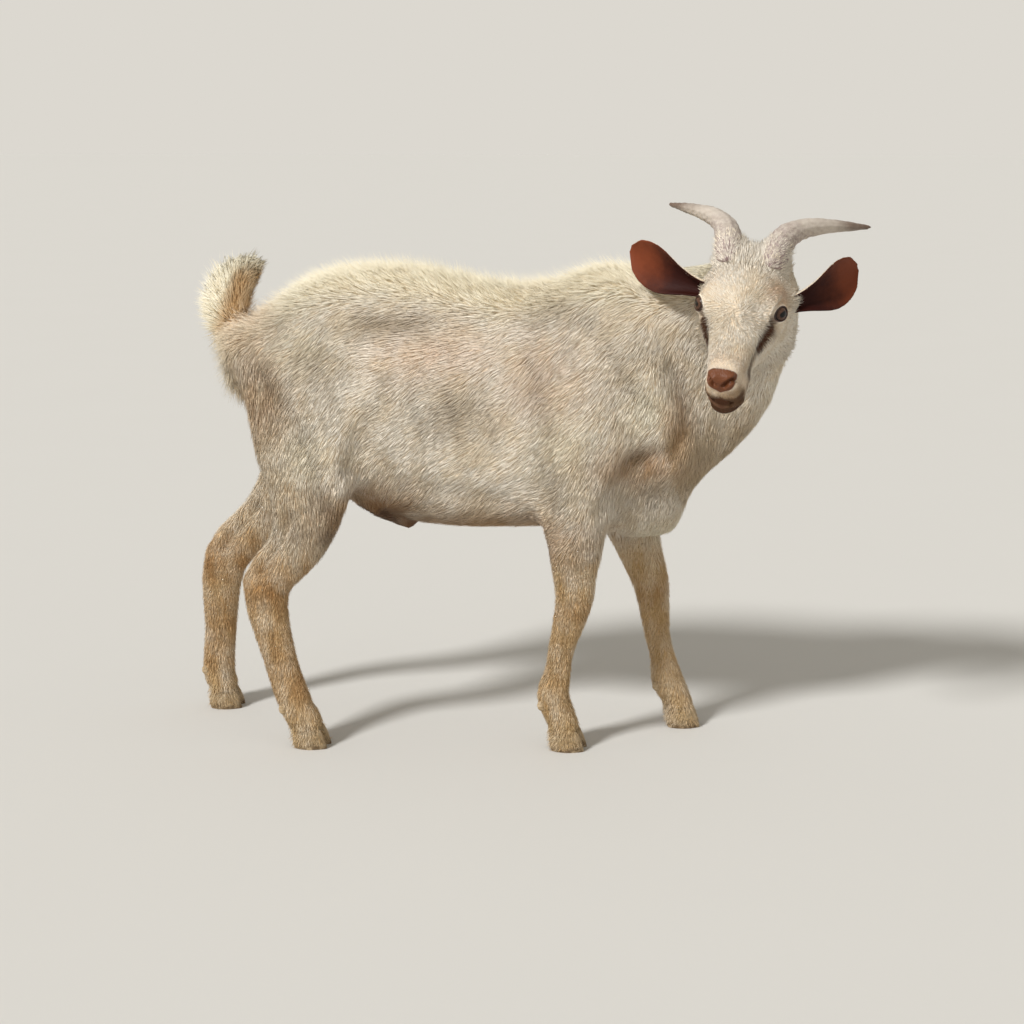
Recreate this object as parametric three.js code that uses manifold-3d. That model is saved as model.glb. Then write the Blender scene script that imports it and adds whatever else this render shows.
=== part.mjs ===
// A young buck goat, life size, standing and looking over its right shoulder.
// Millimetres, +Z up, +X the way the body faces, +Y its left side.
// The outer shape includes the coat. The origin is under the middle of the figure, at ground level.
import * as THREE from 'three';
import { mergeVertices } from 'three/addons/utils/BufferGeometryUtils.js';
import Module from 'manifold-3d';

const wasm = await Module();
wasm.setup();

// ---------------------------------------------------------------- driving dimensions

const GAP = 0.3;                 // clearance between neighbouring pieces
const GRID = 3.4;                // spacing of the sampling grid for the body surface
const BLOCK = 6;                 // grid cells along the side of one block that is tested as a whole
const FACE_DETAIL = 3;           // how much more the thinning spares the muzzle and eyes than the rest
const TRIANGLES = {              // triangles left in each piece of flesh
  head: 1740,
  neck: 470,
  tail: 240,
  leg_fore_right: 430,
  leg_fore_left: 430,
  leg_hind_right: 500,
  leg_hind_left: 500,
  trunk: 1480,
};

const EYE_RADIUS = 11.5;
const EYE_FORWARD = -1;
const EYE_UP = 1;
const EYE_OUT = 35.5;            // centre of the eyeball from the middle of the head
const HORN_BASE = 17;            // half of the wide way across the horn at its base
const EAR_LENGTH = 103;
const EAR_HALF_WIDTH = 24.5;
const EAR_ROOT = 13;             // half of its width there, measured round the curl
const EAR_THICKNESS = 2.2;
const CLAW_LENGTH = 41;
const CLAW_HEIGHT = 23;          // at the middle of its top
const CLAW_RISE = 0.3;           // slope of its top, up towards the toe
const CLAW_HALF_WIDTH = 9.6;
const CLEFT = 1;                 // half of the space between two claws

// The head's own frame: x forward along the bridge of the nose, y to the goat's left, z out of the forehead.
const HEAD_PLACE = new THREE.Vector3(330, -120, 505);     // midway between the eyes
const HEAD_TURN = -106;          // degrees about the vertical, from straight ahead
const HEAD_NOD = 44;             // degrees that the bridge of the nose slopes down
const HEAD_TILT = -8;            // degrees about the bridge of the nose

// ---------------------------------------------------------------- small maths

const rad = THREE.MathUtils.degToRad;
const vec = (x, y, z) => new THREE.Vector3(x, y, z);

/** The smaller of two distances, rounded off where they are within k of each other. */
function blend(a, b, k) {
  const h = Math.max(k - Math.abs(a - b), 0) / k;
  return Math.min(a, b) - h * h * k / 4;
}

/** Rows of numbers drawn out to smooth rows between them, steps to each interval (Catmull-Rom). */
function smoothRows(rows, steps) {
  const out = [];
  const at = i => rows[Math.min(Math.max(i, 0), rows.length - 1)];
  for (let i = 0; i < rows.length - 1; i++) {
    for (let s = 0; s < steps; s++) {
      const t = s / steps;
      out.push(rows[i].map((_, k) => {
        const [p, q, r, u] = [at(i - 1)[k], at(i)[k], at(i + 1)[k], at(i + 2)[k]];
        return q + 0.5 * t * (r - p + t * (2 * p - 5 * q + 4 * r - u + t * (3 * (q - r) + u - p)));
      }));
    }
  }
  out.push(rows.at(-1));
  return out;
}

const headFrame = new THREE.Matrix4().compose(
  HEAD_PLACE,
  new THREE.Quaternion().setFromEuler(new THREE.Euler(rad(HEAD_TILT), rad(HEAD_NOD), rad(HEAD_TURN), 'ZYX')),
  vec(1, 1, 1),
);
const toHead = headFrame.clone().invert();

/** A point or direction of the head's frame in the body's frame. */
const headPoint = (x, y, z) => vec(x, y, z).applyMatrix4(headFrame);
const headWay = (x, y, z) => vec(x, y, z).transformDirection(headFrame);

// ---------------------------------------------------------------- forms of flesh
// Each form gives its rough distance from a point (below zero inside) and the box that holds it.

/** Rough distance from an oval of three half sizes. A power over 2 makes its corners fuller. */
function fromOval(u, v, w, su, sv, sw, power) {
  const [a, b, c] = [Math.abs(u) / su, Math.abs(v) / sv, Math.abs(w) / sw];
  const [pa, pb, pc] = [a ** power, b ** power, c ** power];
  const sum = pa + pb + pc;
  if (sum < 1e-9) return -Math.min(su, sv, sw);
  const r = sum ** (1 / power);
  const slope = Math.hypot(a && pa / (a * su), b && pb / (b * sv), c && pc / (c * sw)) * r / sum;
  return (r - 1) / slope;
}

/** An ellipsoid at a centre, with its three half sizes, leaning about the y axis. */
function lump(centre, sizes, lean = 0) {
  const [c, s] = [Math.cos(rad(lean)), Math.sin(rad(lean))];
  const reach = Math.max(...sizes);
  return {
    low: centre.map(v => v - reach),
    high: centre.map(v => v + reach),
    distance(x, y, z) {
      const dx = x - centre[0];
      const dz = z - centre[2];
      return fromOval(c * dx - s * dz, y - centre[1], s * dx + c * dz, ...sizes, 2);
    },
  };
}

/**
 * A limb: an oval section carried along a smooth line.
 * Rows are x, y, z, half size towards ref, half size away from it, half width across.
 */
function limb(ref, rows, { power = 2, steps = 3 } = {}) {
  const fine = smoothRows(rows, steps);
  const spans = [];
  for (let i = 0; i < fine.length - 1; i++) {
    const [a, b] = [fine[i], fine[i + 1]];
    const along = vec(b[0] - a[0], b[1] - a[1], b[2] - a[2]);
    const length = along.length();
    const way = along.clone().divideScalar(length);
    const up = ref.clone().addScaledVector(way, -ref.dot(way)).normalize();
    const side = way.clone().cross(up);
    const most = 1.15 * Math.max(...a.slice(3), ...b.slice(3));
    spans.push({ a, b, way, up, side, length, most, first: i === 0, last: i === fine.length - 2 });
  }
  const low = [0, 1, 2].map(k => Math.min(...fine.map(r => r[k] - Math.max(r[3], r[4], r[5]))));
  const high = [0, 1, 2].map(k => Math.max(...fine.map(r => r[k] + Math.max(r[3], r[4], r[5]))));
  function distance(x, y, z) {
    let best = Infinity;
    for (const { a, b, way, up, side, length, most } of spans) {
      const px = x - a[0];
      const py = y - a[1];
      const pz = z - a[2];
      const run = px * way.x + py * way.y + pz * way.z;
      const t = Math.min(Math.max(run / length, 0), 1);
      const past = run - t * length;
      const aside2 = px * px + py * py + pz * pz - run * run;
      if (aside2 + past * past > (best + most) ** 2) continue;
      const u = px * up.x + py * up.y + pz * up.z;
      const v = px * side.x + py * side.y + pz * side.z;
      const ahead = a[3] + (b[3] - a[3]) * t;
      const behind = a[4] + (b[4] - a[4]) * t;
      const across = a[5] + (b[5] - a[5]) * t;
      const cap = Math.min(ahead, behind, across);
      const d = fromOval(u, v, past, u > 0 ? ahead : behind, across, cap, power);
      if (d < best) best = d;
    }
    return best;
  }
  return { low, high, distance };
}

/**
 * A form along the x axis, such as the trunk or the skull, round at both ends.
 * Rows are x, top, bottom, half width, height of the widest place.
 * ends are how far the rounding of the back and front ends reaches.
 */
function barrel(rows, ends, power) {
  const fine = smoothRows(rows, 8);
  const [back, front] = [rows[0][0], rows.at(-1)[0]];
  const low = [back - ends[0], -Math.max(...rows.map(r => r[3])), Math.min(...rows.map(r => r[2]))];
  const high = [front + ends[1], -low[1], Math.max(...rows.map(r => r[1]))];
  function distance(x, y, z) {
    const inX = Math.min(Math.max(x, back), front);
    let i = 0;
    while (i < fine.length - 2 && fine[i + 1][0] < inX) i++;
    const [a, b] = [fine[i], fine[i + 1]];
    const t = (inX - a[0]) / (b[0] - a[0]);
    const mix = k => a[k] + (b[k] - a[k]) * t;
    const middle = mix(4);
    const u = z - middle;
    const tall = u > 0 ? mix(1) - middle : middle - mix(2);
    const past = x - inX;
    return fromOval(u, y, past, tall, mix(3), ends[past < 0 ? 0 : 1], power);
  }
  return { low, high, distance };
}

const UP = vec(0, 0, 1);
const AHEAD = vec(1, 0, 0);
const LEFT = vec(0, 1, 0);

/** The trunk, out to the tips of the coat. */
function trunkForm() {
  return barrel([
    // x, top, bottom, half width, height of the widest place
    [-226, 474, 392, 36, 432],
    [-205, 492, 358, 50, 434],
    [-180, 509, 336, 62, 434],
    [-150, 527, 312, 73, 432],
    [-112, 540, 286, 83, 424],
    [-64, 544, 262, 92, 410],
    [-15, 540, 249, 97, 398],
    [40, 529, 246, 97, 390],
    [90, 524, 247, 90, 385],
    [135, 530, 248, 82, 385],
    [178, 540, 245, 75, 385],
    [215, 534, 237, 66, 378],
    [248, 506, 240, 54, 366],
  ], [24, 37], 2.25);
}

/** The neck, which leaves the shoulders straight and bends round to the right. */
function neckForm() {
  return limb(UP, [
    [196, 0, 428, 108, 140, 66],
    [236, 0, 440, 103, 146, 60],
    [277, 0, 458, 92, 128, 50],
    [312, -8, 480, 77, 100, 46],
    [337, -32, 500, 57, 78, 45],
    [341, -66, 517, 36, 62, 43],
  ], { power: 2.1 });
}

/** The muscles and bony points that show under the skin of one side. side is 1 for the left. */
function sideForms(side) {
  const y = v => side * v;
  return [
    [lump([178, y(54), 442], [58, 24, 92], 22), 26],        // shoulder blade
    [lump([246, y(46), 352], [34, 26, 44], 0), 24],         // point of the shoulder
    [lump([-128, y(52), 488], [40, 26, 34], 0), 30],        // point of the hip
    [lump([-214, y(34), 448], [30, 20, 26], 0), 24],        // pin bone
  ];
}

/** One foreleg down to the pastern. Rows are x, y, z, ahead, behind, half width. */
function foreleg(side, elbow, forearm, knee, cannon, fetlock, pastern) {
  const at = ([x, y, z], ...sizes) => [x, side * y, z, ...sizes];
  const midway = (a, b) => a.map((v, k) => (v + b[k]) / 2);
  return limb(AHEAD, [
    at([elbow[0] + 26, elbow[1] - 6, elbow[2] + 84], 50, 44, 26),
    at(elbow, 44, 46, 31),
    at(forearm, 31, 31, 24),
    at(midway(forearm, knee), 25, 25, 20),
    at(knee, 22, 20, 18),
    at(cannon, 15, 15, 13),
    at(midway(cannon, fetlock), 15, 15, 13),
    at(fetlock, 17, 20, 18),
    at(pastern, 17, 17, 18),
    at([pastern[0] + 7, pastern[1], 12], 17, 17, 19),
  ], { power: 2.15 });
}

/** One hind leg down to the pastern, with its thigh. */
function hindleg(side, hip, thigh, gaskin, shank, hock, cannon, fetlock, pastern) {
  const at = ([x, y, z], ...sizes) => [x, side * y, z, ...sizes];
  return limb(AHEAD, [
    at(hip, 62, 66, 34),
    at(thigh, 66, 62, 36),
    at(gaskin, 46, 46, 30),
    at(shank, 31, 31, 22),
    at(hock, 25, 28, 18),
    at(cannon, 19, 20, 15),
    at(fetlock, 19, 20, 18),
    at(pastern, 17, 17, 18),
    at([pastern[0] + 7, pastern[1], 12], 17, 17, 19),
  ], { power: 2.15 });
}

/** The raised tail, curled forward over the rump. */
function tailForm() {
  return limb(LEFT, [
    [-222, 0, 446, 20, 20, 22],
    [-243, 0, 470, 18, 18, 26],
    [-249, 0, 498, 17, 17, 28],
    [-240, 0, 523, 15, 15, 27],
    [-223, 0, 537, 13, 13, 20],
    [-207, 0, 541, 9, 9, 12],
  ]);
}

/** The head in its own frame: skull, brows, cheeks, muzzle and chin. */
function headForms() {
  const skull = barrel([
    // x, top, bottom, half width, height of the widest place
    [-72, 22, -64, 36, -18],
    [-56, 27, -78, 42, -20],
    [-34, 29, -84, 44, -22],
    [-12, 26, -79, 42, -22],
    [10, 20, -69, 36, -20],
    [32, 15, -58, 29.5, -18],
    [56, 12, -51, 23, -17],
    [78, 9, -49, 18.5, -17],
    [90, 6, -47, 16, -17],
  ], [14, 10], 2.35);
  const forms = [[skull, 1]];
  for (const side of [-1, 1]) {
    forms.push([lump([-2, side * 32.5, 1], [21, 10.5, 17], -8), 10]);     // rim of the eye socket
    forms.push([lump([-5, side * 34, 12], [17, 7, 6], -8), 12]);          // brow
    forms.push([limb(UP, [[22, side * 30, -16, 9, 9, 8], [-2, side * 36, -18, 9, 9, 8],
      [-34, side * 40, -16, 9, 9, 8]]), 14]);                             // cheekbone
    forms.push([lump([-34, side * 33, -42], [34, 14, 31], 20), 12]);      // cheek
    forms.push([lump([89, side * 8.5, -3], [10, 7, 9], 0), 6]);           // wing of the nostril
    forms.push([lump([77, side * 8.5, -25], [20, 9, 10], -6), 8]);        // upper lip
  }
  forms.push([lump([82, 0, -46], [15, 12, 8.5], -8), 8]);                 // lower lip and chin
  return forms;
}

/** Skin fold and sheath under the belly, and the small scrotum between the thighs. */
function underForms() {
  return [
    [limb(UP, [[-100, 0, 280, 14, 14, 14], [-66, 0, 262, 14, 14, 13], [-42, 0, 247, 8, 8, 8]]), 14],
    [lump([-132, 0, 292], [20, 18, 28], 10), 12],
  ];
}

const legForms = [
  foreleg(-1, [156, 62, 300], [155, 62, 238], [152, 59, 172], [139, 57, 118], [131, 55, 62],
    [140, 54, 34]),
  foreleg(1, [196, 60, 300], [212, 58, 238], [234, 55, 168], [243, 54, 108], [256, 53, 56],
    [266, 53, 33]),
  hindleg(-1, [-158, 46, 430], [-146, 62, 358], [-142, 72, 288], [-158, 73, 232], [-192, 72, 184],
    [-180, 73, 106], [-160, 73, 44], [-151, 73, 32]),
  hindleg(1, [-166, 46, 430], [-170, 62, 352], [-186, 70, 288], [-226, 70, 236], [-274, 70, 184],
    [-284, 72, 100], [-288, 73, 46], [-284, 73, 32]),
];

const bodyForms = [
  [trunkForm(), 1],
  [neckForm(), 30],
  ...sideForms(-1),
  ...sideForms(1),
  ...legForms.map(form => [form, 26]),
  [tailForm(), 10],
  ...underForms(),
];
const skullForms = headForms();
const HEAD_REACH = 150;          // past this from the head's place, its forms needn't be asked
const NECK_BLEND = 26;           // how softly the head runs into the neck
const FAR = 60;                  // a form is left out where its box is further off than this

/** How far a point lies outside a form's box. */
function boxDistance({ low, high }, x, y, z) {
  const dx = Math.max(low[0] - x, 0, x - high[0]);
  const dy = Math.max(low[1] - y, 0, y - high[1]);
  const dz = Math.max(low[2] - z, 0, z - high[2]);
  return Math.hypot(dx, dy, dz);
}

/** The distance from a set of forms, each run into the ones before it. */
function together(forms, x, y, z) {
  let d = FAR;
  for (const [form, k] of forms) {
    if (boxDistance(form, x, y, z) < Math.max(d, 0) + k) d = blend(d, form.distance(x, y, z), k);
  }
  return d;
}

const probe = vec(0, 0, 0);

/** The distance from the whole goat's flesh. */
function flesh(x, y, z) {
  let d = together(bodyForms, x, y, z);
  probe.set(x, y, z);
  if (probe.distanceTo(HEAD_PLACE) < HEAD_REACH) {
    probe.applyMatrix4(toHead);
    d = blend(d, together(skullForms, probe.x, probe.y, probe.z), NECK_BLEND);
  }
  return d;
}

// ---------------------------------------------------------------- surface of the flesh

// Corners of a grid cell are numbered by their x, y and z bits.
const EDGES = [];
for (let a = 0; a < 8; a++) for (const bit of [1, 2, 4]) if (!(a & bit)) EDGES.push([a, a | bit]);
const FACES = [[0, 2, 6, 4], [1, 3, 7, 5], [0, 1, 5, 4], [2, 3, 7, 6], [0, 1, 3, 2], [4, 5, 7, 6]];

/** For each way the corners can lie inside, which separate sheet of the surface crosses each edge. */
const SHEETS = Array.from({ length: 256 }, (_, mask) => {
  const home = [0, 1, 2, 3, 4, 5, 6, 7];
  const root = c => (home[c] === c ? c : root(home[c]));
  const inside = c => mask >> c & 1;
  for (const [a, b] of EDGES) if (inside(a) === inside(b)) home[root(a)] = root(b);
  for (const [a, b, c, d] of FACES) {
    if (inside(a) !== inside(c) || inside(b) !== inside(d) || inside(a) === inside(b)) continue;
    const [p, q] = inside(a) ? [b, d] : [a, c];
    home[root(p)] = root(q);
  }
  return EDGES.map(([a, b]) => {
    if (inside(a) === inside(b)) return -1;
    return inside(a) ? root(a) * 8 + root(b) : root(b) * 8 + root(a);
  });
});

/** Closed mesh where the distance is zero: one vertex for each sheet of surface in each grid cell. */
function surfaceOf(distance, low, high, step) {
  const n = low.map((v, k) => Math.ceil((high[k] - v) / step / BLOCK) * BLOCK);
  const values = new Map();
  const key = (i, j, k) => (i * 4096 + j) * 4096 + k;
  const place = (i, j, k) => [low[0] + i * step, low[1] + j * step, low[2] + k * step];
  const value = (i, j, k) => {
    const id = key(i, j, k);
    let v = values.get(id);
    if (v === undefined) {
      v = distance(...place(i, j, k));
      values.set(id, v);
    }
    return v;
  };
  const cells = new Map();
  const positions = [];
  /** Adds the vertices of one cell, if the surface crosses it. */
  const visit = (i, j, k) => {
    const corner = [0, 1, 2, 3, 4, 5, 6, 7].map(c => value(i + (c & 1), j + (c >> 1 & 1), k + (c >> 2)));
    const mask = corner.reduce((m, v, c) => m | (v < 0) << c, 0);
    if (mask === 0 || mask === 255) return;
    const sums = new Map();
    const sheets = SHEETS[mask];
    EDGES.forEach(([a, b], e) => {
      if (sheets[e] < 0) return;
      const t = corner[a] / (corner[a] - corner[b]);
      const sum = sums.get(sheets[e]) ?? [0, 0, 0, 0];
      [1, 2, 4].forEach((bit, m) => { sum[m] += (a & bit ? 1 : 0) + (a & bit || !(b & bit) ? 0 : t); });
      sum[3]++;
      sums.set(sheets[e], sum);
    });
    const start = place(i, j, k);
    const numbers = new Map();
    for (const [sheet, sum] of sums) {
      numbers.set(sheet, positions.length / 3);
      for (let m = 0; m < 3; m++) positions.push(start[m] + step * sum[m] / sum[3]);
    }
    cells.set(key(i, j, k), sheets.map(sheet => numbers.get(sheet)));
  };
  const reach = BLOCK * step * 1.5;
  const half = BLOCK / 2;
  for (let bi = 0; bi < n[0]; bi += BLOCK) {
    for (let bj = 0; bj < n[1]; bj += BLOCK) {
      for (let bk = 0; bk < n[2]; bk += BLOCK) {
        if (Math.abs(distance(...place(bi + half, bj + half, bk + half))) > reach) continue;
        for (let c = 0; c < BLOCK ** 3; c++) {
          visit(bi + c % BLOCK, bj + Math.floor(c / BLOCK) % BLOCK, bk + Math.floor(c / BLOCK ** 2));
        }
      }
    }
  }
  const index = [];
  for (const id of cells.keys()) {
    const [i, j, k] = [Math.floor(id / 4096 ** 2), Math.floor(id / 4096) % 4096, id % 4096];
    const here = value(i, j, k) < 0;
    [1, 2, 4].forEach((bit, axis) => {
      const next = [i, j, k];
      next[axis]++;
      if ((value(...next) < 0) === here) return;
      const around = [[0, 0], [1, 0], [1, 1], [0, 1]].map(([p, q]) => {
        const back = [[0, p, q], [q, 0, p], [p, q, 0]][axis];
        const corner = back[0] + 2 * back[1] + 4 * back[2];
        const edge = EDGES.findIndex(([a, b]) => a === corner && b === (corner | bit));
        return cells.get(key(i - back[0], j - back[1], k - back[2]))[edge];
      });
      if (!here) around.reverse();
      index.push(around[0], around[1], around[2], around[0], around[2], around[3]);
    });
  }
  settle(positions, distance);
  return { positions, index };
}

/** Moves each vertex on to the true surface, down the slope of the distance. */
function settle(positions, distance) {
  const e = 0.5;
  for (let v = 0; v < positions.length; v += 3) {
    const [x, y, z] = positions.slice(v, v + 3);
    const d = distance(x, y, z);
    const slope = [distance(x + e, y, z), distance(x, y + e, z), distance(x, y, z + e)].map(f => (f - d) / e);
    const steep = Math.max(slope[0] ** 2 + slope[1] ** 2 + slope[2] ** 2, 0.2);
    const move = THREE.MathUtils.clamp(d / steep, -GRID / 2, GRID / 2);
    for (let m = 0; m < 3; m++) positions[v + m] -= slope[m] * move;
  }
}

/** Thins a closed mesh to about `target` triangles by merging edges where that shows least. */
function thin({ positions, faces }, target) {
  const count = positions.length / 3;
  const p = i => [positions[3 * i], positions[3 * i + 1], positions[3 * i + 2]];
  const quadrics = Array.from({ length: count }, () => new Float64Array(10));
  const near = Array.from({ length: count }, () => new Set());
  const alive = faces.map(() => true);
  const normalOf = (a, b, c) => {
    const [ux, uy, uz] = [b[0] - a[0], b[1] - a[1], b[2] - a[2]];
    const [vx, vy, vz] = [c[0] - a[0], c[1] - a[1], c[2] - a[2]];
    return [uy * vz - uz * vy, uz * vx - ux * vz, ux * vy - uy * vx];
  };
  faces.forEach((face, f) => {
    const [a, b, c] = face.map(p);
    const n = normalOf(a, b, c);
    const area = Math.hypot(...n) || 1e-9;
    const [nx, ny, nz] = n.map(v => v / area);
    const d = -(nx * a[0] + ny * a[1] + nz * a[2]);
    const weight = area * importance(a);
    const q = [nx * nx, nx * ny, nx * nz, nx * d, ny * ny, ny * nz, ny * d, nz * nz, nz * d, d * d];
    for (const i of face) {
      near[i].add(f);
      for (let m = 0; m < 10; m++) quadrics[i][m] += q[m] * weight;
    }
  });
  const error = (q, [x, y, z]) => q[0] * x * x + 2 * q[1] * x * y + 2 * q[2] * x * z + 2 * q[3] * x
    + q[4] * y * y + 2 * q[5] * y * z + 2 * q[6] * y + q[7] * z * z + 2 * q[8] * z + q[9];
  const version = new Int32Array(count);
  const heap = [];
  const swap = (i, j) => { [heap[i], heap[j]] = [heap[j], heap[i]]; };
  const push = item => {
    heap.push(item);
    for (let i = heap.length - 1; i > 0;) {
      const up = (i - 1) >> 1;
      if (heap[up].cost <= heap[i].cost) break;
      swap(i, up);
      i = up;
    }
  };
  const pop = () => {
    const top = heap[0];
    const last = heap.pop();
    if (heap.length) {
      heap[0] = last;
      for (let i = 0; ;) {
        let small = i;
        for (const child of [2 * i + 1, 2 * i + 2]) {
          if (child < heap.length && heap[child].cost < heap[small].cost) small = child;
        }
        if (small === i) break;
        swap(i, small);
        i = small;
      }
    }
    return top;
  };
  const q = new Float64Array(10);
  const flattest = new THREE.Matrix3();
  const offer = (a, b) => {
    for (let m = 0; m < 10; m++) q[m] = quadrics[a][m] + quadrics[b][m];
    const [pa, pb] = [p(a), p(b)];
    const middle = pa.map((v, m) => (v + pb[m]) / 2);
    let best = middle;
    const det = q[0] * (q[4] * q[7] - q[5] * q[5]) - q[1] * (q[1] * q[7] - q[5] * q[2])
      + q[2] * (q[1] * q[5] - q[4] * q[2]);
    const span = Math.hypot(pa[0] - pb[0], pa[1] - pb[1], pa[2] - pb[2]);
    if (Math.abs(det) > 1e-8) {
      flattest.set(q[0], q[1], q[2], q[1], q[4], q[5], q[2], q[5], q[7]).invert();
      const spot = vec(-q[3], -q[6], -q[8]).applyMatrix3(flattest).toArray();
      if (Math.hypot(...spot.map((v, m) => v - middle[m])) < span) best = spot;
    }
    const cost = Math.max(error(q, best), 0) + 1e-3 * span * span * importance(best);
    push({ cost, a, b, spot: best, va: version[a], vb: version[b] });
  };
  for (let i = 0; i < count; i++) {
    const ring = new Set();
    for (const f of near[i]) for (const j of faces[f]) if (j > i) ring.add(j);
    for (const j of ring) offer(i, j);
  }
  const neighbours = i => {
    const ring = new Set();
    for (const f of near[i]) for (const j of faces[f]) if (j !== i) ring.add(j);
    return ring;
  };
  const keepsFacing = (i, other, spot) => {
    for (const f of near[i]) {
      if (faces[f].includes(other)) continue;
      const before = normalOf(...faces[f].map(p));
      const after = normalOf(...faces[f].map(j => (j === i ? spot : p(j))));
      const dot = before[0] * after[0] + before[1] * after[1] + before[2] * after[2];
      const size = Math.hypot(...before) * Math.hypot(...after);
      if (dot < 0.35 * size || Math.hypot(...after) < 1e-3) return false;
    }
    return true;
  };
  let left = faces.length;
  while (left > target && heap.length) {
    const { a, b, spot, va, vb } = pop();
    if (va !== version[a] || vb !== version[b]) continue;
    const shared = [...neighbours(a)].filter(j => neighbours(b).has(j));
    if (shared.length !== 2 || near[a].size + near[b].size < 7) continue;
    if (!keepsFacing(a, b, spot) || !keepsFacing(b, a, spot)) continue;
    for (const f of [...near[b]]) {
      if (faces[f].includes(a)) {
        alive[f] = false;
        left--;
        for (const j of faces[f]) near[j].delete(f);
      } else {
        faces[f] = faces[f].map(j => (j === b ? a : j));
        near[a].add(f);
      }
    }
    near[b].clear();
    version[a]++;
    version[b] = -1;
    for (let m = 0; m < 3; m++) positions[3 * a + m] = spot[m];
    for (let m = 0; m < 10; m++) quadrics[a][m] += quadrics[b][m];
    for (const j of neighbours(a)) offer(a, j);
  }
  const number = new Map();
  const kept = [];
  const index = [];
  faces.forEach((face, f) => {
    if (!alive[f]) return;
    for (const i of face) {
      if (!number.has(i)) {
        number.set(i, kept.length / 3);
        kept.push(...p(i));
      }
      index.push(number.get(i));
    }
  });
  return { positions: kept, index };
}

// ---------------------------------------------------------------- closed solids, joined and cut

/** A solid from plain lists of positions and triangle corners. */
function solidOf({ positions, index }) {
  return new wasm.Manifold(new wasm.Mesh({
    numProp: 3,
    vertProperties: Float32Array.from(positions),
    triVerts: Uint32Array.from(index),
  }));
}

/** A solid from a closed three.js geometry. */
function solidOfGeometry(geometry) {
  for (const name of ['normal', 'uv']) geometry.deleteAttribute(name);
  const merged = mergeVertices(geometry, 1e-4);
  return solidOf({ positions: merged.attributes.position.array, index: merged.index.array });
}

/** A box that reaches `deep` from a plane, on the side that `way` points to. */
function slab(centre, way, ref, deep, wide, high) {
  const n = way.clone().normalize();
  const up = ref.clone().addScaledVector(n, -ref.dot(n)).normalize();
  const side = up.clone().cross(n);
  const geometry = new THREE.BoxGeometry(deep, wide, high);
  geometry.translate(deep / 2, 0, 0);
  geometry.applyMatrix4(new THREE.Matrix4().makeBasis(n, side, up).setPosition(centre));
  return solidOfGeometry(geometry);
}

/** Rings of points joined into a closed tube with a fan over each end. */
function loft(rings, firstTip, lastTip) {
  const n = rings[0].length;
  const positions = rings.flat().flatMap(v => [v.x, v.y, v.z]);
  positions.push(...firstTip.toArray(), ...lastTip.toArray());
  const index = [];
  const [start, end] = [rings.length * n, rings.length * n + 1];
  for (let i = 0; i < n; i++) {
    const j = (i + 1) % n;
    index.push(start, j, i);
    for (let r = 0; r < rings.length - 1; r++) {
      const [a, b] = [r * n, (r + 1) * n];
      index.push(a + i, a + j, b + j, a + i, b + j, b + i);
    }
    const last = (rings.length - 1) * n;
    index.push(last + i, last + j, end);
  }
  return { positions, index };
}

/** A closed solid, turned right side out if its faces point in. */
function outward(shape) {
  const { positions: p, index } = shape;
  let volume = 0;
  for (let t = 0; t < index.length; t += 3) {
    const [a, b, c] = [0, 1, 2].map(k => vec(...[0, 1, 2].map(m => p[3 * index[t + k] + m])));
    volume += a.dot(b.cross(c));
  }
  if (volume < 0) index.reverse();
  return shape;
}

// ---------------------------------------------------------------- horns, ears, eyes and claws

/** One horn: up out of the poll, back and out to the side, flattened and twisted towards the tip. */
function hornShape(side, grow) {
  const rows = smoothRows([
    // x, y, z in the head's frame, half wide, half narrow
    [-52, 21.5, 13, HORN_BASE, 13.5],
    [-68, 26, 24, HORN_BASE, 13],
    [-88, 33, 25, 13.5, 11],
    [-107, 49, 19, 11, 8.5],
    [-121, 69, 10, 8.5, 6.5],
    [-132, 89, 1, 6, 4.5],
    [-142, 108, -8, 2.6, 2.2],
  ], 2);
  const sides = 10;
  const rings = rows.map(([x, y, z, wide, narrow], i) => {
    const [a, b] = [rows[Math.max(i - 1, 0)], rows[Math.min(i + 1, rows.length - 1)]];
    const way = headWay(b[0] - a[0], side * (b[1] - a[1]), b[2] - a[2]);
    const upright = headWay(0.25, side * 0.2, 1);
    const across = upright.addScaledVector(way, -upright.dot(way)).normalize();
    const other = way.clone().cross(across);
    const centre = headPoint(x, side * y, z);
    const swell = 1 + 0.035 * Math.sin(i * 2.1);
    return Array.from({ length: sides }, (_, s) => {
      const angle = 2 * Math.PI * s / sides;
      return centre.clone()
        .addScaledVector(across, (wide * swell + grow) * Math.cos(angle))
        .addScaledVector(other, (narrow * swell + grow) * Math.sin(angle));
    });
  });
  const tip = headPoint(-144 - grow, side * (111.5 + grow), -9.5);
  return outward(loft(rings, headPoint(-46, side * 19, 10), tip));
}

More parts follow.
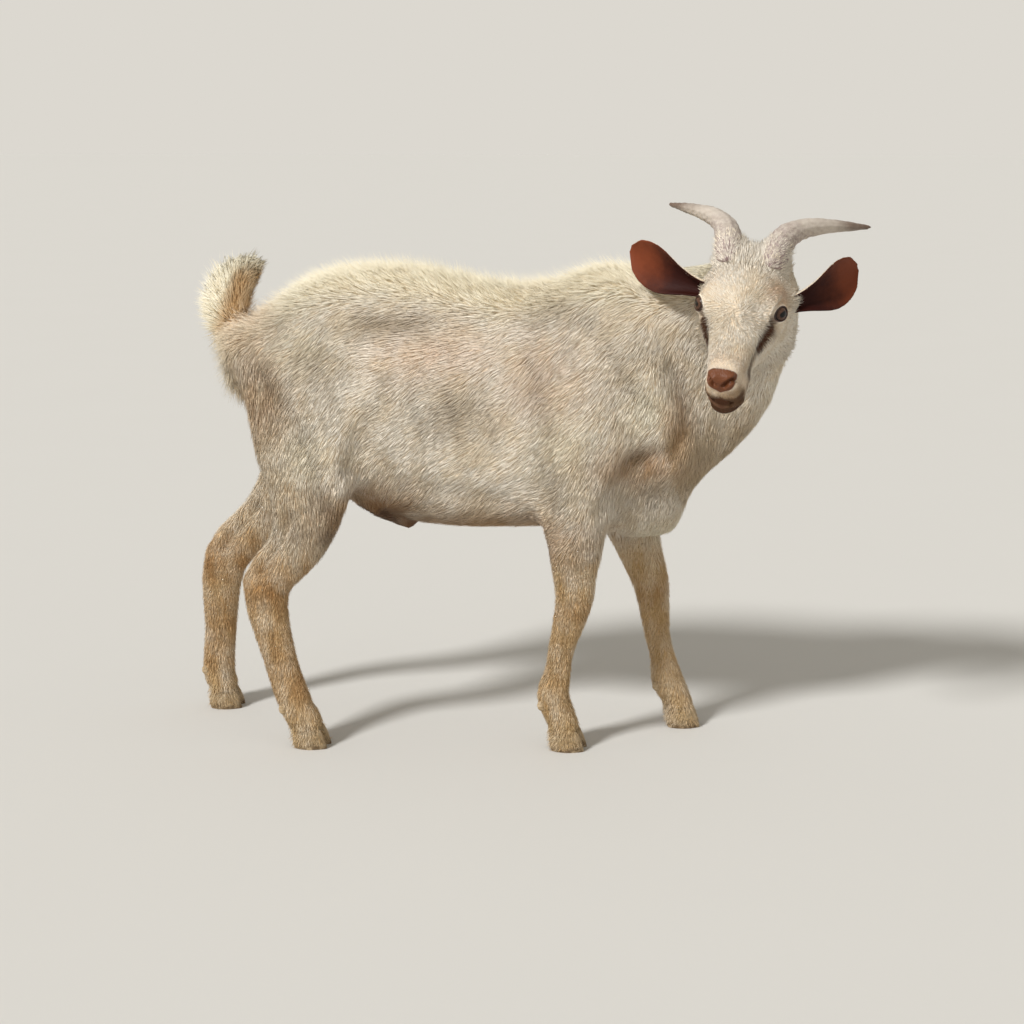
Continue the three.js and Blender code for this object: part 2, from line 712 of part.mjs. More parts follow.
/** One ear: a leaf rolled into a trough at the root and opening out towards a round end. */
function earShape(root, way, face, grow) {
  const along = way.clone().normalize();
  const open = face.clone().addScaledVector(along, -face.dot(along)).normalize();
  const across = along.clone().cross(open);
  const [rows, columns] = [10, 8];
  const outer = [];
  const inner = [];
  for (let r = 0; r < rows; r++) {
    const u = r / (rows - 1);
    const start = root.clone().addScaledVector(along, u * EAR_LENGTH * (1 + grow / EAR_LENGTH))
      .addScaledVector(open, 7 * Math.sin(Math.PI * u) - 10 * u * u);
    const round = Math.sqrt(Math.max(1 - ((Math.max(u, 0.62) - 0.62) / 0.385) ** 2, 0));
    const widening = THREE.MathUtils.smoothstep(u, 0, 0.6);
    const half = THREE.MathUtils.lerp(EAR_ROOT, EAR_HALF_WIDTH, widening) * round + grow;
    const roll = rad(THREE.MathUtils.lerp(105, 34, THREE.MathUtils.smoothstep(u, 0, 0.75)));
    const bend = Math.max(half, 1) * 1.12 / roll;
    const thick = (EAR_THICKNESS * (1 - 0.35 * u)) / 2 + grow;
    for (let c = 0; c < columns; c++) {
      const turn = roll * (2 * c / (columns - 1) - 1);
      const point = start.clone()
        .addScaledVector(open, bend * (1 - Math.cos(turn)))
        .addScaledVector(across, bend * Math.sin(turn));
      const inwards = open.clone().multiplyScalar(Math.cos(turn)).addScaledVector(across, -Math.sin(turn));
      outer.push(point.clone().addScaledVector(inwards, -thick));
      inner.push(point.clone().addScaledVector(inwards, thick));
    }
  }
  const size = rows * columns;
  const positions = [...outer, ...inner].flatMap(v => v.toArray());
  const index = [];
  const quad = (a, b, c, d) => index.push(a, b, c, a, c, d);
  for (let r = 0; r < rows - 1; r++) {
    for (let c = 0; c < columns - 1; c++) {
      const i = r * columns + c;
      quad(i, i + 1, i + columns + 1, i + columns);
      quad(size + i, size + i + columns, size + i + columns + 1, size + i + 1);
    }
    const [first, last] = [r * columns, r * columns + columns - 1];
    quad(first, first + columns, size + first + columns, size + first);
    quad(last, size + last, size + last + columns, last + columns);
  }
  for (let c = 0; c < columns - 1; c++) {
    const end = (rows - 1) * columns + c;
    quad(c, size + c, size + c + 1, c + 1);
    quad(end, end + 1, size + end + 1, size + end);
  }
  return outward({ positions, index });
}

/** One eyeball. */
function eyeShape(side, grow) {
  const geometry = new THREE.SphereGeometry(EYE_RADIUS + grow, 12, 8);
  geometry.applyMatrix4(headFrame.clone().multiply(
    new THREE.Matrix4().makeTranslation(EYE_FORWARD, side * EYE_OUT, EYE_UP)));
  return geometry;
}

/** One claw of a hoof: a flat sole, a pointed toe and a sloping top. place is the middle of the foot. */
function clawShape(place, heading, side) {
  const sides = 12;
  const rings = [0, 0.12, 1].map(level => Array.from({ length: sides }, (_, s) => {
    const angle = 2 * Math.PI * s / sides;
    const forward = Math.cos(angle);
    const pinch = 1 - 0.38 * Math.max(forward, 0) ** 1.5;
    const bevel = level === 0 ? 0.95 : 1;
    const x = CLAW_LENGTH / 2 * bevel * (1 - 0.16 * level) * forward - 6 * level;
    const y = CLAW_HALF_WIDTH * bevel * (1 - 0.06 * level) * Math.sin(angle) * pinch
      + side * (CLAW_HALF_WIDTH + CLEFT - 1.2 * Math.max(forward, 0));
    return vec(x, y, level * (CLAW_HEIGHT + CLAW_RISE * x));
  }));
  const middle = side * (CLAW_HALF_WIDTH + CLEFT);
  const shape = loft(rings, vec(0, middle, 0), vec(-6, middle, CLAW_HEIGHT - 6 * CLAW_RISE));
  const [c, s] = [Math.cos(heading), Math.sin(heading)];
  for (let i = 0; i < shape.positions.length; i += 3) {
    const [x, y] = shape.positions.slice(i, i + 2);
    shape.positions[i] = place[0] + c * x - s * y;
    shape.positions[i + 1] = place[1] + s * x + c * y;
  }
  return outward(shape);
}

/** One dewclaw behind the fetlock. */
function dewclawShape(place, heading, side, grow) {
  const geometry = new THREE.SphereGeometry(1, 7, 4);
  geometry.scale(7 + grow, 5 + grow, 8 + grow);
  geometry.rotateY(rad(-25));
  geometry.translate(place[0] - Math.sin(heading) * side * 9, place[1] + side * 9, place[2]);
  return geometry;
}

// ---------------------------------------------------------------- making the pieces

const pieces = new Map();
const solids = new Map();
const FEET = {
  leg_fore_right: { place: [148, -53], heading: rad(-6), dew: [119, -55, 52] },
  leg_fore_left: { place: [275, 53], heading: rad(4), dew: [243, 53, 48] },
  leg_hind_right: { place: [-143, -73], heading: rad(-4), dew: [-174, -73, 44] },
  leg_hind_left: { place: [-278, 73], heading: rad(2), dew: [-302, 73, 46] },
};

const reach = 15;
const lows = [0, 1, 2].map(k => Math.min(...bodyForms.map(([f]) => f.low[k])) - reach);
const highs = [0, 1, 2].map(k => Math.max(...bodyForms.map(([f]) => f.high[k])) + reach);
lows[1] = Math.min(lows[1], HEAD_PLACE.y - 130);
highs[0] = Math.max(highs[0], HEAD_PLACE.x + 90);
highs[2] = Math.max(highs[2], HEAD_PLACE.z + 120);

/** How much the thinning spares the surface near a point. */
function importance([x, y, z]) {
  probe.set(x, y, z).applyMatrix4(toHead);
  const atEye = Math.hypot(probe.x - EYE_FORWARD, Math.abs(probe.y) - EYE_OUT, probe.z - EYE_UP) < 26;
  return probe.length() < HEAD_REACH && (probe.x > 62 || atEye) ? FACE_DETAIL : 1;
}

let body = solidOf(surfaceOf(flesh, lows, highs, GRID));

/** The space on the side of a plane that way points to, in a box that reaches deep, wide and high. */
const beyond = (centre, way, ref, deep, wide, high) => grow => {
  const from = centre.clone().addScaledVector(way.clone().normalize(), -grow);
  return slab(from, way, ref, deep + 2 * grow, wide + 2 * grow, high + 2 * grow);
};

/** Parts one region from the body with a thin cut. */
function part(name, ...regions) {
  const shared = grow => regions.map(region => region(grow)).reduce((a, b) => a.intersect(b));
  pieces.set(name, body.intersect(shared(0)));
  body = body.subtract(shared(GAP));
}

part('head',
  beyond(headPoint(-44, 8, -34), headWay(0.85, 0, 0.53), headWay(0, 0, 1), 260, 114, 260),
  beyond(headPoint(0, 0, -78), headWay(-0.2, 0, 0.98), headWay(1, 0, 0), 260, 160, 330));
part('neck', beyond(vec(236, 0, 430), vec(0.954, 0, 0.25), UP, 220, 300, 340));
part('tail', beyond(vec(-240, 0, 474), vec(-0.63, 0, 0.78), AHEAD, 140, 80, 240));
part('leg_fore_right', beyond(vec(150, -78, 234), vec(0, 0, -1), AHEAD, 260, 110, 150));
part('leg_fore_left', beyond(vec(225, 78, 234), vec(0, 0, -1), AHEAD, 260, 110, 150));
part('leg_hind_right',
  beyond(vec(-150, -82, 312), vec(-0.28, 0, -1), AHEAD, 340, 130, 260),
  beyond(vec(-92, -82, 170), vec(-1, 0, 0), UP, 240, 130, 420));
part('leg_hind_left',
  beyond(vec(-200, 82, 322), vec(-0.2, 0, -1), AHEAD, 340, 130, 260),
  beyond(vec(-102, 82, 170), vec(-1, 0, 0), UP, 240, 130, 420));
pieces.set('trunk', body);

// Each foot is cut off along the sloping tops of its claws.
for (const [leg, { place, heading }] of Object.entries(FEET)) {
  const up = vec(-CLAW_RISE * Math.cos(heading), -CLAW_RISE * Math.sin(heading), 1);
  pieces.set(leg, pieces.get(leg).intersect(
    beyond(vec(...place, CLAW_HEIGHT + GAP), up, AHEAD, 400, 400, 600)(0)));
}

for (const [name, piece] of pieces) {
  const mesh = piece.getMesh();
  const faces = [];
  for (let i = 0; i < mesh.triVerts.length; i += 3) faces.push([...mesh.triVerts.slice(i, i + 3)]);
  solids.set(name, solidOf(thin({ positions: [...mesh.vertProperties], faces }, TRIANGLES[name])));
}

/** Sets a separate piece into its neighbours, which are cut back by the clearance. */
function inlay(hosts, name, shape, grown) {
  for (const host of hosts) solids.set(host, solids.get(host).subtract(grown));
  solids.set(name, shape);
}

for (const [side, label] of [[-1, 'right'], [1, 'left']]) {
  const eye = grow => solidOfGeometry(eyeShape(side, grow));
  const horn = grow => solidOf(hornShape(side, grow));
  inlay(['head'], `eye_${label}`, eye(0), eye(GAP));
  inlay(['head', 'neck'], `horn_${label}`, horn(0), horn(GAP));
}
const EARS = {
  right: [vec(299, -76, 523), vec(-84, 26, 35), vec(-0.1, -1, -0.35)],
  left: [vec(374, -88, 508), vec(80, 42, 33), vec(0.1, -1, -0.3)],
};
for (const [label, ear] of Object.entries(EARS)) {
  inlay(['head', 'neck'], `ear_${label}`, solidOf(earShape(...ear, 0)), solidOf(earShape(...ear, GAP)));
}
for (const [leg, { place, heading, dew }] of Object.entries(FEET)) {
  for (const [side, label] of [[-1, 'outer'], [1, 'inner']]) {
    const across = leg.endsWith('right') ? side : -side;
    solids.set(leg.replace('leg', 'claw') + '_' + label, solidOf(clawShape(place, heading, across)));
    const dewclaw = grow => solidOfGeometry(dewclawShape(dew, heading, across, grow));
    inlay([leg], leg.replace('leg', 'dewclaw') + '_' + label, dewclaw(0), dewclaw(GAP));
  }
}

// ---------------------------------------------------------------- the goat

const FINISHES = {
  coat: new THREE.MeshStandardMaterial({ color: '#e0d2b8', roughness: 0.9, metalness: 0 }),
  ear: new THREE.MeshStandardMaterial({ color: '#b5836c', roughness: 0.75, metalness: 0 }),
  horn: new THREE.MeshStandardMaterial({ color: '#a89b8c', roughness: 0.6, metalness: 0 }),
  eye: new THREE.MeshStandardMaterial({ color: '#3a2416', roughness: 0.1, metalness: 0 }),
  hoof: new THREE.MeshStandardMaterial({ color: '#a98a66', roughness: 0.7, metalness: 0 }),
};
const finishOf = name => {
  if (/claw/.test(name)) return 'hoof';
  return ['eye', 'horn', 'ear'].find(kind => name.startsWith(kind)) ?? 'coat';
};

const goat = new THREE.Group();
for (const [name, solid] of solids) {
  const mesh = solid.getMesh();
  const geometry = new THREE.BufferGeometry();
  geometry.setAttribute('position', new THREE.BufferAttribute(new Float32Array(mesh.vertProperties), 3));
  geometry.setIndex([...mesh.triVerts]);
  const node = new THREE.Mesh(geometry, FINISHES[finishOf(name)]);
  node.name = name;
  goat.add(node);
}
const box = new THREE.Box3().setFromObject(goat);
goat.position.set(-(box.min.x + box.max.x) / 2, -(box.min.y + box.max.y) / 2, -box.min.z);

export default goat;
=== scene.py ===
"""A young buck goat, life size and still: one skin, its coat of locks, eyes, horns, ears and hooves."""
import logging
import math
from dataclasses import dataclass, field
from enum import Enum
from typing import Callable, Iterable, Sequence

import bmesh
import bpy
import numpy as np
from mathutils import Matrix, Vector
from mathutils.bvhtree import BVHTree


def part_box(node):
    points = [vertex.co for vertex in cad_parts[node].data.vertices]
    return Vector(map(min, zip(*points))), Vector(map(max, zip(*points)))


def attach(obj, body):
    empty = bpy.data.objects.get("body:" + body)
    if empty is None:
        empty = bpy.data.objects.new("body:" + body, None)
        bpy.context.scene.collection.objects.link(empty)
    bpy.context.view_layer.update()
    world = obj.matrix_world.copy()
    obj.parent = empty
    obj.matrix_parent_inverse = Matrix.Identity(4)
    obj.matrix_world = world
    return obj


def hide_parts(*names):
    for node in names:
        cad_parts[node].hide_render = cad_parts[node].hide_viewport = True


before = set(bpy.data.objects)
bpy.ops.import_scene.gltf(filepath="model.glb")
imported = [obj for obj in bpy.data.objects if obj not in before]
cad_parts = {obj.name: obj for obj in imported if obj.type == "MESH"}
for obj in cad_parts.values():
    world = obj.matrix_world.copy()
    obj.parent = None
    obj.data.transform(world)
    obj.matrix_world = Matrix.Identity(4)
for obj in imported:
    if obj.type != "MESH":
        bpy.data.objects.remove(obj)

LOG = logging.getLogger("goat")
MM = 0.001
SEED = 11
SIDES = {"right": -1, "left": 1}
LEGS = ("leg_fore_right", "leg_fore_left", "leg_hind_right", "leg_hind_left")
FLESH = ("head", "neck", "trunk", "tail", *LEGS)
EARS = ("ear_right", "ear_left")
HORNS = ("horn_right", "horn_left")
Triple = tuple[float, float, float]
Path = tuple[Triple, ...]
Array = np.ndarray
Mesh = bpy.types.Mesh
Piece = bpy.types.Object
Socket = bpy.types.NodeSocket


class Mask(Enum):
    """The markings that skin and coat share, painted shade and painted highlights among them, each a value
    from 0 to 1 held on the mesh.
    """

    TAN = "tan"
    OCHRE = "stain"
    GREY = "grey"
    # Orange-brown: real stains on legs, sheath and tail front and soiling under the belly, with painted shade
    # under the belly, in the groin and at the shoulder.
    PINK = "pink"
    CREAM = "cream"
    DARK = "dark"
    NOSE = "nose"


# ---- small maths


def smooth(values: Array, start: float, end: float) -> Array:
    """A smooth step from 0 at start to 1 at end; end may be the lower of the two."""
    t = np.clip((values - start) / (end - start), 0.0, 1.0)
    return t * t * (3.0 - 2.0 * t)


def unit(vectors: Array) -> Array:
    """Each row at length 1."""
    return vectors / np.maximum(np.linalg.norm(vectors, axis=-1, keepdims=True), 1e-9)


def flattened(vectors: Array, normals: Array) -> Array:
    """Each row laid along the surface that has the given normals, at length 1."""
    return unit(vectors - normals * (vectors * normals).sum(1, keepdims=True))


def distance_to(points: Array, centre: Sequence[float]) -> Array:
    """How far each point is from one place."""
    return np.linalg.norm(points - np.asarray(centre, float), axis=1)


def glow(points: Array, centre: Sequence[float], radius: float) -> Array:
    """1 at one place, fading round it and nearly 0 at twice the radius."""
    return np.exp(-(distance_to(points, centre) / radius) ** 2)


def path_distance(points: Array, path: Sequence[Triple]) -> Array:
    """How far each point is from a line of straight stretches.

    Args:
        points: N by 3.
        path: the corners of the line, in the same units.

    Returns:
        N distances.
    """
    line = np.array(path, float)
    best = np.full(len(points), np.inf)
    for a, b in zip(line[:-1], line[1:]):
        run = b - a
        t = np.clip((points - a) @ run / (run @ run), 0.0, 1.0)
        best = np.minimum(best, np.linalg.norm(points - a - t[:, None] * run, axis=1))
    return best


def folded(local: Array) -> Array:
    """Places in the head's frame folded over to its left side."""
    return np.column_stack([local[:, 0], np.abs(local[:, 1]), local[:, 2]])


def linear(code: str) -> tuple[float, float, float, float]:
    """A shader colour from a code such as #e0d2b8."""
    parts = [int(code[i:i + 2], 16) / 255 for i in (1, 3, 5)]
    return (*(c / 12.92 if c <= 0.04045 else ((c + 0.055) / 1.055) ** 2.4 for c in parts), 1.0)


class Ripples:
    """A smooth random field: a sum of waves in random directions."""

    def __init__(self, size: float, seed: int, count: int = 9) -> None:
        """Draws the waves.

        Args:
            size: about how far apart the swells are, in metres.
            seed: of the draw.
            count: how many waves.
        """
        rng = np.random.default_rng(seed)
        ways = unit(rng.normal(size=(count, 3)))
        self.waves = ways * (2 * math.pi / size) * rng.uniform(0.6, 1.6, (count, 1))
        self.shifts = rng.uniform(0, 2 * math.pi, count)

    def at(self, points: Array) -> Array:
        """The field's value at each point, mostly between -1 and 1."""
        return np.sin(points @ self.waves.T + self.shifts).sum(1) / math.sqrt(len(self.shifts) / 2) / 1.6


@dataclass(frozen=True)
class HeadFrame:
    """The head's own axes, in which face sizes are given in millimetres: forward, left and up."""

    origin: Array
    axes: Array

    @classmethod
    def between_eyes(cls, turn: float, nod: float, tilt: float, behind: float, above: float) -> "HeadFrame":
        """Finds the frame from the two eyes.

        Args:
            turn: degrees about the vertical.
            nod: degrees that the nose slopes down.
            tilt: degrees about the nose.
            behind: how far the eyes' centres lie behind the origin, in millimetres.
            above: how far they lie above it.

        Returns:
            The frame.
        """
        turned = Matrix.Rotation(math.radians(turn), 3, "Z") @ Matrix.Rotation(math.radians(nod), 3, "Y")
        axes = np.array((turned @ Matrix.Rotation(math.radians(tilt), 3, "X")).transposed())
        middle = (middle_of("eye_right") + middle_of("eye_left")) / 2
        return cls(middle + axes[0] * behind * MM - axes[2] * above * MM, axes)

    def local(self, points: Array) -> Array:
        """Places in the head's frame, in millimetres."""
        return (np.asarray(points) - self.origin) @ self.axes.T / MM

    def world(self, points: Array) -> Array:
        """Places in the model's frame, in metres, from places in the head's."""
        return self.origin + np.asarray(points, float) @ self.axes * MM

    def way(self, direction: Triple) -> Array:
        """A direction of the head's frame in the model's frame, at length 1."""
        return unit(np.array(direction, float) @ self.axes)


def box_of(node: str) -> tuple[Array, Array]:
    """The low and the high corner of a node's box."""
    low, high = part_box(node)
    return np.array(low), np.array(high)


def middle_of(node: str) -> Array:
    """The middle of a node's box."""
    low, high = box_of(node)
    return (low + high) / 2


def spot(node: str, fractions: Triple) -> Array:
    """A place given as fractions of a node's box."""
    low, high = box_of(node)
    return low + (high - low) * np.array(fractions)


def along_trunk(points: Array) -> Array:
    """How far forward each place is: 0 at the trunk's hind end and 1 at its front."""
    low, high = box_of("trunk")
    return (points[:, 0] - low[0]) / (high[0] - low[0])


def off_middle(points: Array) -> Array:
    """How far each place is to the side of the trunk's middle, in metres: less than 0 on the right."""
    return points[:, 1] - middle_of("trunk")[1]


def claw_nodes() -> list[str]:
    """The CAD nodes of the hooves and dewclaws."""
    return [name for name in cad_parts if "claw" in name]


@dataclass(frozen=True)
class Back:
    """The line of the back: how high trunk and neck reach at each place along the body."""

    stations: Array
    heights: Array

    @classmethod
    def measured(cls, rows: int = 60, columns: int = 24, margin: float = 2 * MM) -> "Back":
        """Finds it by looking down on the trunk and the neck.

        Args:
            rows: how many places are measured along the body.
            columns: how many looks are taken across each.
            margin: how far inside both ends the first and the last lie, in metres.

        Returns:
            The line.
        """
        tree, places, _ = joined_nodes(("trunk", "neck"))
        sides = np.linspace(places[:, 1].min(), places[:, 1].max(), columns)
        stations = np.linspace(places[:, 0].min() + margin, places[:, 0].max() - margin, rows)
        heights = []
        for along in stations:
            hits = [tree.ray_cast((along, across, 2), (0, 0, -1))[0] for across in sides]
            heights.append(max((hit.z for hit in hits if hit), default=0.0))
        return cls(stations, np.array(heights))

    def below(self, points: Array) -> Array:
        """How far each place lies under the line of the back, in metres."""
        return np.interp(points[:, 0], self.stations, self.heights) - points[:, 2]


# ---- mesh helpers


def read_rows(items: bpy.types.bpy_prop_collection, name: str, width: int, kind: type) -> Array:
    """Reads one property of all of a mesh's vertices, edges or the like.

    Args:
        items: what to read from.
        name: of the property.
        width: how many numbers it has.
        kind: of number, as the mesh holds it.

    Returns:
        A row for each item.
    """
    flat = np.empty(len(items) * width, kind)
    items.foreach_get(name, flat)
    return flat.reshape(-1, width)


def points_of(mesh: Mesh) -> Array:
    """The places of a mesh's vertices, N by 3."""
    return read_rows(mesh.vertices, "co", 3, np.float32).astype(float)


def place_points(mesh: Mesh, points: Array) -> None:
    """Moves a mesh's vertices."""
    mesh.vertices.foreach_set("co", points.astype(np.float32).ravel())
    mesh.update()


def normals_of(mesh: Mesh) -> Array:
    """The normals of a mesh's vertices, N by 3."""
    return read_rows(mesh.vertex_normals, "vector", 3, np.float32).astype(float)


def pushed(mesh: Mesh, push: Array) -> None:
    """Moves each vertex along its normal by its own distance, in millimetres."""
    place_points(mesh, points_of(mesh) + normals_of(mesh) * (push * MM)[:, None])


def edges_of(mesh: Mesh) -> Array:
    """The two vertices of each edge."""
    return read_rows(mesh.edges, "vertices", 2, np.int32)


def triangles_of(mesh: Mesh) -> Array:
    """The three vertices of each triangle."""
    mesh.calc_loop_triangles()
    return read_rows(mesh.loop_triangles, "vertices", 3, np.int32)


def store(mesh: Mesh, name: str, values: Array) -> None:
    """Keeps one number for each vertex under a name that a material reads."""
    attribute = mesh.attributes.get(name) or mesh.attributes.new(name, "FLOAT", "POINT")
    attribute.data.foreach_set("value", values.astype(np.float32))


def neighbour_mean(values: Array, edges: Array) -> Array:
    """The mean of what holds at the vertices next to each vertex.

    Args:
        values: N by K.
        edges: M by 2.

    Returns:
        N by K.
    """
    count = len(values)
    a, b = edges.T
    degree = np.maximum(np.bincount(edges.ravel(), minlength=count), 1)[:, None]
    total = [np.bincount(a, column[b], count) + np.bincount(b, column[a], count) for column in values.T]
    return np.stack(total, axis=1) / degree


def relaxed(points: Array, edges: Array, weights: Array, passes: int) -> Array:
    """Evens out a surface without shrinking it, by turns of pulling in and pushing out.

    Args:
        points: N by 3.
        edges: M by 2.
        weights: how much each vertex takes part, from 0 to 1.
        passes: how many turns.

    Returns:
        The new places.
    """
    out = points.copy()
    for turn in range(2 * passes):
        rate = 0.5 if turn % 2 == 0 else -0.52
        out += rate * weights[:, None] * (neighbour_mean(out, edges) - out)
    return out


def only(piece: Piece) -> None:
    """Makes a piece the one selected, active object.

    Args:
        piece: any object.
    """
    bpy.ops.object.select_all(action="DESELECT")
    piece.select_set(True)
    bpy.context.view_layer.objects.active = piece


def edit(operation: Callable[..., object], **settings: object) -> None:
    """Runs an operation of edit mode on all of the active piece.

    Args:
        operation: the operation.
        settings: its properties.
    """
    bpy.ops.object.mode_set(mode="EDIT")
    bpy.ops.mesh.select_all(action="SELECT")
    operation(**settings)
    bpy.ops.object.mode_set(mode="OBJECT")


def solid_copy(names: Iterable[str], name: str, quads: bool = False) -> Piece:
    """Copies CAD nodes into one new object and merges their doubled corners.

    Args:
        names: the nodes.
        name: of the new object.
        quads: whether pairs of triangles become four-sided faces.

    Returns:
        The new object.
    """
    bpy.ops.object.select_all(action="DESELECT")
    copies = []
    for node in names:
        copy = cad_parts[node].copy()
        copy.data = copy.data.copy()
        copy.parent = None
        bpy.context.collection.objects.link(copy)
        copy.hide_set(False)
        copy.select_set(True)
        copies.append(copy)
    bpy.context.view_layer.objects.active = copies[0]
    if len(copies) > 1:
        bpy.ops.object.join()
    piece = bpy.context.view_layer.objects.active
    piece.name = name
    piece.data.name = name
    piece.data.materials.clear()
    bpy.ops.object.mode_set(mode="EDIT")
    bpy.ops.mesh.select_all(action="SELECT")
    bpy.ops.mesh.remove_doubles(threshold=2e-5)
    if quads:
        bend, skew = math.radians(50), math.radians(80)
        bpy.ops.mesh.tris_convert_to_quads(face_threshold=bend, shape_threshold=skew)
    bpy.ops.object.mode_set(mode="OBJECT")
    return piece


def apply_modifier(piece: Piece, kind: str, **settings: object) -> None:
    """Adds a modifier and applies it.

    Args:
        piece: what it works on.
        kind: of modifier.
        settings: the modifier's properties.
    """
    modifier = piece.modifiers.new(kind.lower(), kind)
    for key, value in settings.items():
        setattr(modifier, key, value)
    only(piece)
    bpy.ops.object.modifier_apply(modifier=modifier.name)


def subdivided(piece: Piece, levels: int) -> None:
    """Rounds a piece by subdivision."""
    apply_modifier(piece, "SUBSURF", levels=levels, render_levels=levels)


def rounded(piece: Piece, levels: int, passes: int) -> None:
    """Rounds a piece without making it thinner.

    Args:
        piece: what to round.
        levels: how many times its faces are split first.
        passes: turns of evening out.
    """
    apply_modifier(piece, "SUBSURF", levels=levels, render_levels=levels, subdivision_type="SIMPLE")
    mesh = piece.data
    place_points(mesh, relaxed(points_of(mesh), edges_of(mesh), np.ones(len(mesh.vertices)), passes))


def tree_of(piece: Piece) -> BVHTree:
    """A search tree over a piece's faces."""
    mesh = piece.data
    return BVHTree.FromPolygons(points_of(mesh).tolist(), [tuple(p.vertices) for p in mesh.polygons])


def joined_nodes(names: Sequence[str]) -> tuple[BVHTree, Array, list[str]]:
    """Makes one search tree over some CAD nodes.

    Args:
        names: the nodes.

    Returns:
        The tree, the places of all the nodes' vertices and the node of each face.
    """
    vertices: list[list[float]] = []
    faces: list[tuple[int, ...]] = []
    owner: list[str] = []
    for name in names:
        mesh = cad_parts[name].data
        start = len(vertices)
        vertices += points_of(mesh).tolist()
        faces += [tuple(v + start for v in p.vertices) for p in mesh.polygons]
        owner += [name] * len(mesh.polygons)
    return BVHTree.FromPolygons(vertices, faces), np.array(vertices), owner


def gaps_to(tree: BVHTree, points: Array, reach: float) -> Array:
    """How far each point is from a surface, up to a limit.

    Args:
        tree: a search tree over the surface.
        points: N by 3.
        reach: the limit, in metres.

    Returns:
        N distances, which are reach where they would be more.
    """
    out = np.full(len(points), reach)
    for i, point in enumerate(points):
        distance = tree.find_nearest(point, reach)[3]
        if distance is not None:
            out[i] = distance
    return out


def delete_object(piece: Piece) -> None:
    """Removes a helper object and its mesh.

    Args:
        piece: the object.
    """
    mesh = piece.data
    bpy.data.objects.remove(piece)
    bpy.data.meshes.remove(mesh)


def gaps_to_nodes(names: Sequence[str], points: Array, reach: float) -> Array:
    """How far each point is from some CAD nodes, up to a limit.

    Args:
        names: the nodes.
        points: N by 3.
        reach: the limit, in metres.

    Returns:
        N distances, which are reach where they would be more.
    """
    solid = solid_copy(names, "probe")
    out = gaps_to(tree_of(solid), points, reach)
    delete_object(solid)
    return out


def face_outwards(piece: Piece) -> None:
    """Recalculates the normals of a closed piece."""
    only(piece)
    edit(bpy.ops.mesh.normals_make_consistent, inside=False)


def finish_piece(piece: Piece, material: bpy.types.Material, nodes: Sequence[str] = ()) -> None:
    """Args:
        piece: the finished piece.
        material: its material.
        nodes: the CAD nodes that it stands for.
    """
    piece.data.materials.clear()
    piece.data.materials.append(material)
    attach(piece, "root")
    if nodes:
        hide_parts(*nodes)
    piece.data.calc_loop_triangles()
    LOG.info("%s: %d triangles", piece.name, len(piece.data.loop_triangles))


# ---- markings


@dataclass(frozen=True)
class Blot:
    """One soft patch on both sides: its middle in the trunk's box, and its half sizes in metres."""

    along: float
    height: float
    length: float
    depth: float
    strength: float = 1.0


